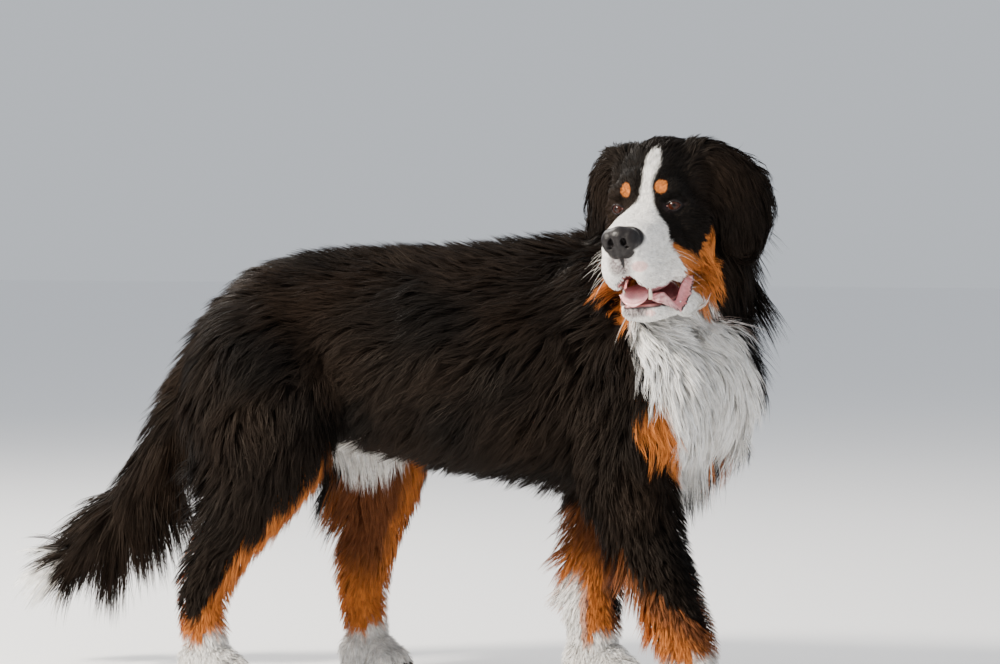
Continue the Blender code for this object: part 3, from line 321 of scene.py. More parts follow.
def ring(centre, side, normal, plus, minus, wide, power, sides=RING_SIDES):
    """Points round a superellipse whose two halves reach plus along normal and minus against it."""
    made = []
    for k in range(sides):
        turn = 2 * math.pi * k / sides
        across, up = math.cos(turn), math.sin(turn)
        across = math.copysign(abs(across) ** (2 / power), across)
        up = math.copysign(abs(up) ** (2 / power), up)
        made.append(centre + side * (wide * across) + normal * ((plus if up > 0 else minus) * up))
    return made


def linked(name, data):
    """A new object of the scene."""
    obj = bpy.data.objects.new(name, data)
    bpy.context.scene.collection.objects.link(obj)
    return obj


def object_of(name, points, faces):
    mesh = bpy.data.meshes.new(name)
    mesh.from_pydata([tuple(p) for p in points], [], faces)
    mesh.update()
    return linked(name, mesh)


def outward(obj):
    """Turns every face of a closed mesh outward."""
    bm = bmesh.new()
    bm.from_mesh(obj.data)
    bmesh.ops.recalc_face_normals(bm, faces=bm.faces)
    bm.to_mesh(obj.data)
    bm.free()
    return obj


def skinned(name, rings, tip=None):
    """A closed tube through the rings, with a point closing each end."""
    sides = len(rings[0])
    points = [p for r in rings for p in r]
    faces = []
    for i in range(len(rings) - 1):
        for k in range(sides):
            a, b = i * sides + k, i * sides + (k + 1) % sides
            faces.append((a, b, b + sides, a + sides))
    first, last = len(points), len(points) + 1
    points += [sum(rings[0], Vector()) / sides, tip or sum(rings[-1], Vector()) / sides]
    top = (len(rings) - 1) * sides
    for k in range(sides):
        after = (k + 1) % sides
        faces.append((after, k, first))
        faces.append((top + k, top + after, last))
    return outward(object_of(name, points, faces))


def sheet_faces(rows, columns):
    """The faces of a sheet with two sides, each of rows x columns points, closed round its edge."""
    count = rows * columns
    faces = []
    for i in range(rows - 1):
        for k in range(columns - 1):
            a = i * columns + k
            quad = (a, a + 1, a + columns + 1, a + columns)
            faces += [quad, tuple(count + v for v in reversed(quad))]
    edge = [i * columns for i in range(rows)]
    edge += [(rows - 1) * columns + k for k in range(1, columns)]
    edge += [i * columns + columns - 1 for i in range(rows - 2, -1, -1)]
    edge += list(range(columns - 2, 0, -1))
    return faces + [(a, b, count + b, count + a) for a, b in zip(edge, edge[1:] + edge[:1])]


def stations(rows, coat_share):
    """For each row: its centre, the tube's direction, its side and plus directions and its reach there."""
    rows = rows * CM
    centres = [Vector(r[:3]) for r in rows]
    reach = rows[:, 3:6] + coat_share * rows[:, 6:9]
    made = []
    for i, centre in enumerate(centres):
        along = (centres[min(i + 1, len(rows) - 1)] - centres[max(i - 1, 0)]).normalized()
        side = (Vector((0, 1, 0)) - along * along.y).normalized()
        made.append((centre, along, side, along.cross(side), *reach[i]))
    return made


def limb(name, rows, power, coat_share, dome=0.7):
    """A tube through a table's rows, with coat_share of the coat on it and a rounded end each way."""
    rings = stations(smooth_rows(rows), coat_share)
    caps = []
    for end, sign in ((0, -1), (-1, 1)):
        centre, along, side, normal, plus, minus, wide = rings[end]
        length = dome * min(plus, minus, wide)
        cap = []
        for turn in (0.35, 0.7, 1.0, 1.25):
            shrink = math.cos(turn)
            at = centre + along * (sign * length * math.sin(turn))
            cap.append(ring(at, side, normal, plus * shrink, minus * shrink, wide * shrink, power))
        caps.append(cap)
    middle = [ring(c, s, n, p, m, w, power) for c, _, s, n, p, m, w in rings]
    return skinned(name, caps[0][::-1] + middle + caps[1])


def profile(name, rows, power):
    """A form along X through rows of x, top, bottom, half width."""
    rings = []
    for x, top, bottom, wide in smooth_rows(rows):
        centre = Vector((x, 0, (top + bottom) / 2)) * CM
        high = (top - bottom) / 2 * CM
        rings.append(ring(centre, Vector((0, 1, 0)), Vector((0, 0, 1)), high, high, wide * CM, power))
    return skinned(name, rings)


def turned(turn):
    """A rotation of so many degrees about X, then Y, then Z."""
    x, y, z = (math.radians(a) for a in turn)
    return Matrix.Rotation(z, 4, "Z") @ Matrix.Rotation(y, 4, "Y") @ Matrix.Rotation(x, 4, "X")


def blob(name, centre, reach, turn=(0, 0, 0), rings=24):
    """An ellipsoid, with its half axes in CM and its turn in degrees about X, Y, Z."""
    obj = object_of(name, [], [])
    bm = bmesh.new()
    bmesh.ops.create_uvsphere(bm, u_segments=rings, v_segments=rings // 2 + 2, radius=1.0)
    placed = Matrix.Translation(Vector(centre) * CM) @ turned(turn)
    placed @= Matrix.Diagonal((*(r * CM for r in reach), 1))
    bmesh.ops.transform(bm, matrix=placed, verts=bm.verts)
    bm.to_mesh(obj.data)
    bm.free()
    return obj


def joined(name, objects):
    """The objects' meshes as one object, still overlapping."""
    bm = bmesh.new()
    for obj in objects:
        bm.from_mesh(obj.data)
    obj = object_of(name, [], [])
    bm.to_mesh(obj.data)
    bm.free()
    for other in objects:
        bpy.data.objects.remove(other)
    return obj


def apply_modifiers(obj):
    graph = bpy.context.evaluated_depsgraph_get()
    graph.update()
    mesh = bpy.data.meshes.new_from_object(obj.evaluated_get(graph))
    obj.modifiers.clear()
    obj.data = mesh
    return obj


def fused(name, objects, voxel, smoothing):
    """The overlapping objects as one smooth skin."""
    obj = joined(name, objects)
    remesh = obj.modifiers.new("Remesh", "REMESH")
    remesh.mode = "VOXEL"
    remesh.voxel_size = voxel
    smooth = obj.modifiers.new("Smooth", "SMOOTH")
    smooth.factor = 0.5
    smooth.iterations = smoothing
    return apply_modifiers(obj)


def boolean(obj, others, operation):
    """obj joined with, or cut by, the closed objects."""
    group = bpy.data.collections.new("group")
    for other in others:
        group.objects.link(other)
    modifier = obj.modifiers.new("Boolean", "BOOLEAN")
    modifier.operation = operation
    modifier.operand_type = "COLLECTION"
    modifier.collection = group
    modifier.solver = "MANIFOLD"
    apply_modifiers(obj)
    bpy.data.collections.remove(group)
    for other in others:
        bpy.data.objects.remove(other)
    return obj


def values_of(items, name, kind=float, size=1):
    """An attribute of all of a mesh's items as one array."""
    values = np.empty(len(items) * size, kind)
    items.foreach_get(name, values)
    return values


def points_of(obj):
    return values_of(obj.data.vertices, "co", size=3).reshape(-1, 3)


def set_points(obj, points):
    obj.data.vertices.foreach_set("co", np.asarray(points).ravel())
    obj.data.update()


def nudge(obj, brushes):
    """Pushes the surface: each brush is a centre, a reach and a move in CM, fading to its rim."""
    points = points_of(obj)
    for centre, reach, move in brushes:
        away = (points - np.array(centre) * CM) / (np.array(reach) * CM)
        share = np.clip(1 - (away**2).sum(1), 0, 1) ** 2
        points += share[:, None] * np.array(move) * CM
    set_points(obj, points)
    return obj


def mirrored(rows, signs=(-1, 1, -1)):
    """The rows and their other side's: a place, a reach and a turn, or with MOVE_SIGNS a move."""
    other = [((x, -y, z), reach, tuple(s * v for s, v in zip(signs, last))) for (x, y, z), reach, last in rows]
    return list(rows) + other


MOVE_SIGNS = (1, -1, 1)


def smoothstep(value, low, high):
    share = np.clip((value - low) / (high - low), 0, 1)
    return share * share * (3 - 2 * share)


def mixed(share, colour, other):
    """For each share, so much of one colour and the rest of the other."""
    return np.outer(share, colour) + np.outer(1 - share, other)


def unit(vectors):
    return vectors / np.maximum(np.linalg.norm(vectors, axis=-1, keepdims=True), 1e-9)


HEAD = Matrix.Translation(Vector(HEAD_PLACE) * CM) @ turned(HEAD_TURN)
HEAD_AXES = np.array(HEAD.to_3x3())
HEAD_ORIGIN = np.array(HEAD.translation)


def in_head(points):
    """Body frame in metres to the head's frame in CM."""
    return (points - HEAD_ORIGIN) @ HEAD_AXES / CM


def from_head(points):
    return np.asarray(points, float) * CM @ HEAD_AXES.T + HEAD_ORIGIN


# The skin


def ear(side):
    """A hanging ear: a flap that leaves the head outward, folds over and hangs, hollow towards the head."""
    flare = math.radians(EAR_FLARE)
    across_flap = Vector((-math.cos(flare), math.sin(flare), 0))
    outward_flap = Vector((math.sin(flare), math.cos(flare), 0))
    rows = smooth_rows(EAR)
    middles = [Vector(row[:3]) for row in rows]
    outer, inner = [], []
    for i, (_, _, _, wide, hollow, thick) in enumerate(rows):
        hang = (middles[min(i + 1, len(rows) - 1)] - middles[max(i - 1, 0)]).normalized()
        face = (outward_flap - hang * hang.dot(outward_flap)).normalized()
        if abs(hang.z) <= 0.6:
            face = Vector((0, 0, 1))
        for k in range(EAR_COLUMNS):
            across = 2 * k / (EAR_COLUMNS - 1) - 1
            middle = middles[i] + across_flap * (across * wide) - face * (hollow * (across**2 - 0.35))
            half = face * (thick / 2 * (1 - 0.75 * abs(across) ** 3))
            outer.append(middle + half)
            inner.append(middle - half)
    points = [Vector((p.x, p.y * side, p.z)) * CM for p in outer + inner]
    return outward(object_of("ear", points, sheet_faces(len(rows), EAR_COLUMNS)))


def eye_frame(side):
    """The eye's centre in CM and its forward, sideways and up directions, in the head's frame."""
    out = math.radians(EYE_OUTWARD)
    forward = unit(np.array((math.cos(out), side * math.sin(out), 0.06)))
    aside = unit(np.array((-math.sin(out), side * math.cos(out), 0.0)))
    up = unit(np.cross(forward, aside) * side)
    return np.array((EYE_PLACE[0], side * EYE_PLACE[1], EYE_PLACE[2])), forward, aside, up


# The opening between the lids, in degrees on the eyeball: its corners and its arcs up and down
EYE_CORNERS = (-64, 60)
EYE_MIDDLE = (EYE_CORNERS[0] + EYE_CORNERS[1]) / 2
EYE_HALF = (EYE_CORNERS[1] - EYE_CORNERS[0]) / 2
EYE_ARCS = (31, -34)
EYE_BENDS = (2.2, 1.9)
LID_THICKNESS = 0.22
LID_RIM = 0.1
LID_REACH = 2.2


def lid_distance(points, side):
    """How far points of the head lie outside an eye's opening, in radians, then reach, aim and height."""
    centre, forward, aside, up = eye_frame(side)
    away = points - centre
    reach = np.linalg.norm(away, axis=1)
    aim = away / reach[:, None]
    across = np.degrees(np.arctan2(aim @ aside, aim @ forward))
    high = np.degrees(np.arcsin(np.clip(aim @ up, -1, 1)))
    share = np.clip(np.abs(across - EYE_MIDDLE) / EYE_HALF, 0, 1)
    top, bottom = (arc * (1 - share**bend) for arc, bend in zip(EYE_ARCS, EYE_BENDS))
    outside = np.maximum(high - top, bottom - high)
    past = np.maximum(np.abs(across - EYE_MIDDLE) - EYE_HALF, 0)
    outside = np.radians(np.hypot(np.maximum(outside, 0), past) + np.minimum(outside, 0))
    return outside, reach, aim, aim @ forward, high


def sculpt_lids(points):
    """Raises the lids round each eye and clears the opening between them, in the head's frame."""
    for side in (1, -1):
        centre = eye_frame(side)[0]
        outside, reach, aim, facing, high = lid_distance(points, side)
        lid = EYE_RADIUS + 0.03 + LID_THICKNESS * (1 - np.exp(-np.maximum(outside, 0) / 0.09))
        fold = np.exp(-(((outside - 0.36) / 0.1) ** 2)) * np.where(high > 0, 0.10, 0.06)
        blend = smoothstep(outside, 0.2, 0.62)
        shaped = lid * (1 - blend) + reach * blend - fold
        shaped = np.where(outside < 0, EYE_RADIUS - 0.35, shaped)
        shaped = reach + (shaped - reach) * smoothstep(facing, 0.05, 0.3) * (reach < 2.4)
        points = centre + aim * shaped[:, None]
    return points


def relaxed(obj, chosen, passes):
    """Smooths the chosen points of a mesh, so many times."""
    ends = values_of(obj.data.edges, "vertices", np.int32, 2).reshape(-1, 2)
    ends = ends[chosen[ends].any(1)]
    points = points_of(obj)
    count = np.bincount(ends.ravel(), minlength=len(points))
    for _ in range(passes):
        total = np.zeros_like(points)
        for axis in range(3):
            total[:, axis] = np.bincount(ends[:, 0], points[ends[:, 1], axis], len(points))
            total[:, axis] += np.bincount(ends[:, 1], points[ends[:, 0], axis], len(points))
        mean = total / np.maximum(count, 1)[:, None]
        points[chosen] += 0.5 * (mean - points)[chosen]
    set_points(obj, points)


def head_form():
    """The head with its mouth, nostrils, ears and lids, in the head's frame."""
    forms = [profile("muzzle", MUZZLE, 2.6)]
    forms += [blob("form", *row) for row in SKULL_FORMS + mirrored(SKULL_PAIRS)]
    upper = fused("upper", forms, 0.003, 8)
    nudge(upper, FACE_BRUSHES + mirrored(FACE_BRUSH_PAIRS, MOVE_SIGNS))
    nose = fused("nose", [blob("form", *row) for row in NOSE_FORMS + mirrored(NOSE_PAIRS)], 0.0015, 4)
    nostrils = [blob("nostril", *row) for row in mirrored(NOSTRILS)] + [blob("groove", *NOSE_GROOVE)]
    nose = boolean(nose, [fused("nostrils", nostrils, 0.0008, 2)], "DIFFERENCE")
    boolean(upper, [profile("mouth", MOUTH, 2.2)], "DIFFERENCE")
    forms = [profile("jaw", JAW, 2.4)] + [blob("form", *row) for row in JAW_FORMS + mirrored(JAW_PAIRS)]
    jaw = nudge(fused("jaw", forms, 0.0025, 4), JAW_BRUSHES)
    head = fused("head", [upper, nose, jaw, ear(1), ear(-1)], HEAD_VOXEL, 3)
    points = points_of(head) / CM
    raised = sculpt_lids(points)
    set_points(head, raised * CM)
    moved = np.linalg.norm(raised - points, axis=1) > 0.004
    open_lids = np.zeros(len(points), bool)
    for side in (1, -1):
        outside, reach = lid_distance(raised, side)[:2]
        open_lids |= (np.abs(outside) < 0.07) & (reach < 2.0)
    relaxed(head, moved & ~open_lids, 6)
    return head


def paw(place):
    """A paw with its toes and pads, its soles cut level at the floor."""
    x, y, size = place
    forms = [
        ((-1.2, 0, 3.4), (4.0, 3.7, 3.4)),
        ((-2.4, 0, 0.8), (2.5, 2.5, 1.6)),
        ((1.2, 0, 3.2), (3.2, 3.6, 2.7)),
    ]
    for along, across in TOES:
        forms.append(((along, across, 1.8), (2.5, 1.32, 2.2)))
    blobs = [blob("form", Vector(c) * size, [r * size for r in radii]) for c, radii in forms]
    obj = fused("paw", blobs, PAW_VOXEL, 3)
    points = points_of(obj) + np.array((x, y, 0)) * CM
    points[:, 2] = np.maximum(points[:, 2], 0.0005)
    set_points(obj, points)
    return obj


# Every so many of the head's points tell what is head
HEAD_MARK_STEP = 12


def build_skin():
    """The whole skin, and some points of its head."""
    body = fused("skin", [limb(n, rows, power, 0.0) for n, (rows, power) in TUBES.items()], BODY_VOXEL, 5)
    head = head_form()
    head.data.transform(HEAD)
    marks = points_of(head)[::HEAD_MARK_STEP]
    return boolean(body, [head] + [paw(place) for place in PAWS.values()], "UNION"), marks


# Where on the dog a point is

# Points round each station, and the middle and the ends along X of the head, in CM in its frame
CLOUD_ANGLES = 24
HEAD_MIDDLE = np.array((-5.0, 0.0, -3.0))
HEAD_LENGTH = (-22.0, 12.0)


class Places:
    """Tells each point's tube, its row there and its angle round it, from the nearest point of a cloud."""

    def __init__(self, head_points):
        self.names = [*TUBES, "head"]
        points, labels = [], []
        for index, (rows, power) in enumerate(TUBES.values()):
            for i, (centre, _, side, normal, *reach) in enumerate(stations(smooth_rows(rows), 0.5)):
                around = ring(centre, side, normal, *reach, power, CLOUD_ANGLES)
                for k, point in enumerate(around):
                    points.append(point)
                    labels.append((index, i / STEPS, 360 * k / CLOUD_ANGLES))
        for point in head_points:
            points.append(Vector(point))
            labels.append((len(TUBES), *self.on_head(in_head(point[None]))[0]))
        self.labels = np.array(labels)
        self.tree = KDTree(len(points))
        for i, point in enumerate(points):
            self.tree.insert(point, i)
        self.tree.balance()

    def on_head(self, points):
        """A row from 0 at the nape to 10 at the nose and the angle round the head's length."""
        row = np.clip((points[:, 0] - HEAD_LENGTH[0]) / (HEAD_LENGTH[1] - HEAD_LENGTH[0]), 0, 1) * 10
        away = points - HEAD_MIDDLE
        return np.column_stack([row, np.degrees(np.arctan2(away[:, 2], away[:, 1])) % 360])

    def find(self, points):
        """Tube number, row and angle of each point."""
        found = self.labels[[self.tree.find(Vector(p))[1] for p in points]]
        head = found[:, 0] == len(TUBES)
        found[head, 1:] = self.on_head(in_head(points[head]))
        return found


# Markings


def waves(points, length, seed):
    """A smooth random value from about -1 to 1 at each point, with bumps of so many CM."""
    draw = np.random.default_rng(seed)
    total = np.zeros(len(points))
    for _ in range(9):
        direction = unit(draw.normal(size=3)) * 2 * math.pi / (length * CM * draw.uniform(0.7, 1.6))
        total += np.sin(points @ direction + draw.uniform(0, 6.28))
    return total / 4.5


BLACK = (0.0065, 0.0055, 0.005)
BROWN_CAST_AND_SHEEN = (0.018, 0.0115, 0.008)
TAN = (0.47, 0.15, 0.034)
RUST = (0.15, 0.052, 0.022)
WHITE = (0.86, 0.83, 0.79)
COAT_TINT = (1.0, 0.82, 0.66, 1)
NOSE_SKIN = (0.0095, 0.0075, 0.0075)
LIP_DARK = (0.020, 0.014, 0.015)
PINK = (0.62, 0.25, 0.24)
PINK_SKIN = (0.78, 0.55, 0.52)
MOTTLED = (0.17, 0.135, 0.135)
MOUTH_PAINTED_SHADE = (0.16, 0.03, 0.035)
GREY_SKIN = (0.22, 0.18, 0.18)

# The white chest: height, then where it starts and ends in degrees round the post at its middle
CHEST_POST = (36, -4)
CHEST = (
    (28, -30, -25),
    (31, -38, 0),
    (35, -46, 22),
    (38, -53, 28),
    (42, -57, 30),
    (45, -67, 22),
    (50, -74, 12),
    (55, -80, 3),
    (58, -82, -12),
    (64, -80, -24),
    (70, -74, -40),
)
# The tan beside it: height and how many degrees it is wide
CHEST_TAN = (
    (33, 0), (35, 12), (38, 18), (42, 17), (43.5, 0), (54.5, 0), (57, 9), (60, 15), (67, 15), (70, 0),
)
LEFT_TAN_TOP = 36
# The blaze and muzzle: place down the face, then the white's middle and half its width
BLAZE = (
    (-9.0, 0.0, 9.0),
    (-4.5, 0.0, 4.6),
    (-3.4, 0.1, 3.7),
    (-2.7, 0.2, 3.0),
    (-1.5, 0.4, 2.2),
    (0.1, 0.55, 1.3),
    (1.4, 0.8, 1.0),
    (3.4, 0.8, 0.85),
    (6.0, 0.95, 1.05),
    (8.8, 0.9, 1.15),
    (10.4, 1.0, 0.6),
    (11.4, 1.1, -0.1),
    (14, 1.2, -3.0),
)
BLAZE_SLOPE = 0.6
# Round each leg, from its front towards its outside in degrees, and the row where its tan starts
HIND_TAN = (
    (-180, -150, -60, -20, 0, 25, 45, 80, 150, 180),
    (6.4, 4.4, 3.1, 3.1, 3.2, 4.4, 6.7, 7.5, 7.3, 6.4),
)
FORE_TAN = (
    (-180, -120, -60, -20, 0, 30, 60, 90, 120, 180),
    (4.6, 4.3, 4.7, 6.7, 7.4, 7.1, 6.6, 6.0, 5.4, 4.6),
)
# Height in the head's frame and how far forward the white starts there
CHEEK = (
    (-17.5, -7.0),
    (-15.5, -5.1),
    (-14.3, -3.5),
    (-13.1, -2.4),
    (-11.6, -1.4),
    (-10.0, -1.0),
    (-8.2, 1.4),
    (-6.6, 2.4),
    (-3.0, 2.6),
    (-1.7, 2.8),
)
# Height in the head's frame and how far to the right the white and the tan's start reach
RIGHT_CHEEK = ((-17, -4.0), (-12, -4.9), (-9, -5.6), (-6, -6.4), (0, -7.0))
# Forward in the head's frame and how high the cheek's tan reaches there
CHEEK_TAN = (
    (-8.0, -8), (-6.4, -6.0), (-5.6, -4.6), (-3.4, -5.0),
    (-2.8, -8.3), (-2.0, -7.4), (0.6, -6.3), (2.6, -5.2),
)
CHEEK_TAN_REAR = -7.6
# Patches as ellipsoids: grey freckles, bare pink skin, the brow spots and the black between eye and cheek
MOTTLES = (((10.9, -0.4, -7.2), (3.5, 2.3, 2.4)), ((6.2, -0.8, -14.4), (2.8, 3.3, 1.4)))
BARE_PINK = (((10.6, 2.5, -7.6), (3.0, 1.3, 0.9)), ((5.2, 1.6, -14.9), (2.4, 0.9, 0.5)))
BROW_SPOTS = (((0.9, 3.0, 3.1), (2.0, 1.05, 1.2)), ((1.0, -2.6, 2.9), (2.0, 0.85, 1.2)))
WEDGE = ((-3.4, 8.0, -8.4), (0.5, 3.0, 1.7))
BELLY_WHITE = ((-15, 3.0, 34.0), (7.5, 8, 4.5))
# How soft a marking's border is on the head
MARK_EDGE = 0.5


def band(value, low, high, soft):
    """1 where value lies between low and high, 0 outside, with soft edges."""
    return np.clip((value - low) / soft + 0.5, 0, 1) * np.clip((high - value) / soft + 0.5, 0, 1)


def table(rows, value, column=1):
    rows = np.array(rows, float)
    return np.interp(value, rows[:, 0], rows[:, column])


def ball(points, centre, reach):
    """1 in an ellipsoid's middle, 0 at its rim and less outside."""
    return 1 - np.linalg.norm((points - np.array(centre)) / np.array(reach), axis=1)


class Paint:
    """Colours of many points, laid over each other."""

    def __init__(self, colours):
        self.colours = np.array(colours, float)

    def lay(self, share, tone):
        self.colours += (np.array(tone) - self.colours) * np.clip(share, 0, 1)[:, None]


def mark_legs(paint, cm, names, row, angle, rough):
    """Tan from a row down that changes round each leg, rust behind it, and white feet."""
    for name, out in (("hind_right", -1), ("hind_left", 1), ("fore_right", -1), ("fore_left", 1)):
        turn = ((90 - angle) * out + 180) % 360 - 180
        if name.startswith("hind"):
            start = np.interp(turn, *HIND_TAN)
            deep = band(turn, -150, -28, 30) * np.clip((6.8 - row) / 1.2, 0, 1)
        else:
            start = np.interp(turn, *FORE_TAN)
            deep = np.clip((start + 1.3 - row) / 0.9, 0, 1)
        share = (names == name) * np.clip((row + rough * 0.22 - start) / 0.25 + 0.5, 0, 1)
        paint.lay(share, TAN)
        paint.lay(share * deep, RUST)
        if name == "fore_left":
            rear = band(turn, -180, -95, 20) * band(row + rough * 0.3, 6.1, 9.9, 0.3)
            paint.lay((names == name) * rear, WHITE)
    for x, y, _ in PAWS.values():
        near = ball(cm, (x, y, 3), (12, 9, 60)) > 0
        top = 6.0 + 1.6 * ((cm[:, 0] - x) > 0.5) + rough
        paint.lay(near * np.clip((top - cm[:, 2]) / 1.2 + 0.5, 0, 1), WHITE)


def mark_body(paint, cm, names, row, rough):
    """The tail's tip, the belly and the chest with the tan beside it."""
    paint.lay((names == "tail") * np.clip((row + rough * 0.12 - 6.55) / 0.1, 0, 1), WHITE)
    belly = np.clip(ball(cm, *BELLY_WHITE) * 5 + rough * 0.6, 0, 1)
    paint.lay(belly * (cm[:, 1] > -7), WHITE)
    around = np.degrees(np.arctan2(cm[:, 1] - CHEST_POST[1], cm[:, 0] - CHEST_POST[0])) + rough * 3.5
    first, last = table(CHEST, cm[:, 2]), table(CHEST, cm[:, 2], 2)
    front = (cm[:, 0] > 30) & (cm[:, 2] > 27) & (names != "head")
    wide = table(CHEST_TAN, cm[:, 2] + rough)
    left_wide = wide * (cm[:, 2] < LEFT_TAN_TOP)
    paint.lay(front * band(around, first - wide, last + left_wide, 3) * (wide > 1), TAN)
    paint.lay(front * band(around, first, last, 3) * np.clip((cm[:, 2] - 29) / 2, 0, 1), WHITE)


def mark_head(paint, points, rough):
    """The brow spots, the cheeks' tan, the blaze and muzzle, and the freckles and pink of the lips."""
    head = in_head(points)
    x, y, z = head.T
    near = (points[:, 2] / CM > 56) & (x > -7.5) & (np.abs(y) < 12)
    for centre, reach in BROW_SPOTS:
        paint.lay(near * np.clip(ball(head, centre, reach) * 3.5 / MARK_EDGE + rough, 0, 1), TAN)
    edge_x = table(CHEEK, z) + rough
    top = table(CHEEK_TAN, x) + rough
    below = np.clip((top - z) / MARK_EDGE + 0.5, 0, 1)
    tan = band(x, CHEEK_TAN_REAR + rough, edge_x, MARK_EDGE) * below * (np.abs(y) > 3.0)
    right = table(RIGHT_CHEEK, z) + rough
    tan = np.maximum(tan, (z < -5) * (x > -7) * (y < right))
    tan *= y > right - 2.6
    leaning = np.column_stack([x - 0.45 * (z + 8.4), np.abs(y), z])
    tan *= 1 - np.clip(ball(leaning, *WEDGE) * 3 + rough, 0, 1)
    paint.lay(near * tan * (z > -17), TAN)
    down = z - BLAZE_SLOPE * x
    middle, half = table(BLAZE, down), table(BLAZE, down, 2)
    top_white = np.clip((half - np.abs(y - middle) + rough * 0.6) / MARK_EDGE + 0.5, 0, 1)
    side_white = np.clip((x - edge_x) / MARK_EDGE + 0.5, 0, 1)
    side_white = side_white * np.clip((y - right) / MARK_EDGE + 0.5, 0, 1)
    paint.lay(near * np.where(z > -1.7, top_white, np.minimum(side_white, top_white)), WHITE)
    speckle = np.clip(0.55 + (0.5 + 0.7 * waves(points, 0.35, 17)) * 0.5, 0, 1)
    for centre, reach in MOTTLES:
        paint.lay(near * np.clip(ball(head, centre, reach) * 2.5, 0, 1) * speckle, MOTTLED)
    for centre, reach in BARE_PINK:
        paint.lay(near * np.clip(ball(head, centre, reach) * 4 + rough, 0, 1), PINK_SKIN)


def markings(points, places, jitter=0.0):
    """The coat's colour at points of the body frame, in metres."""
    cm = points / CM
    tube, row, angle = places.find(points).T
    names = np.array(places.names)[tube.astype(int)]
    rough = waves(points, 2.2, 3) * 0.45 + waves(points, 6, 4) * 0.5 + jitter
    paint = Paint(np.tile(BLACK, (len(points), 1)))
    # Brown in wide random waves and more on the tail: partly the coat's own brownish cast, partly painted
    # sheen
    paint.lay(0.35 + 0.4 * waves(points, 14, 8) + (names == "tail") * 0.3, BROWN_CAST_AND_SHEEN)
    mark_legs(paint, cm, names, row, angle, rough)
    mark_body(paint, cm, names, row, rough)
    mark_head(paint, points, rough * 0.35)
    return paint.colours


# The coat

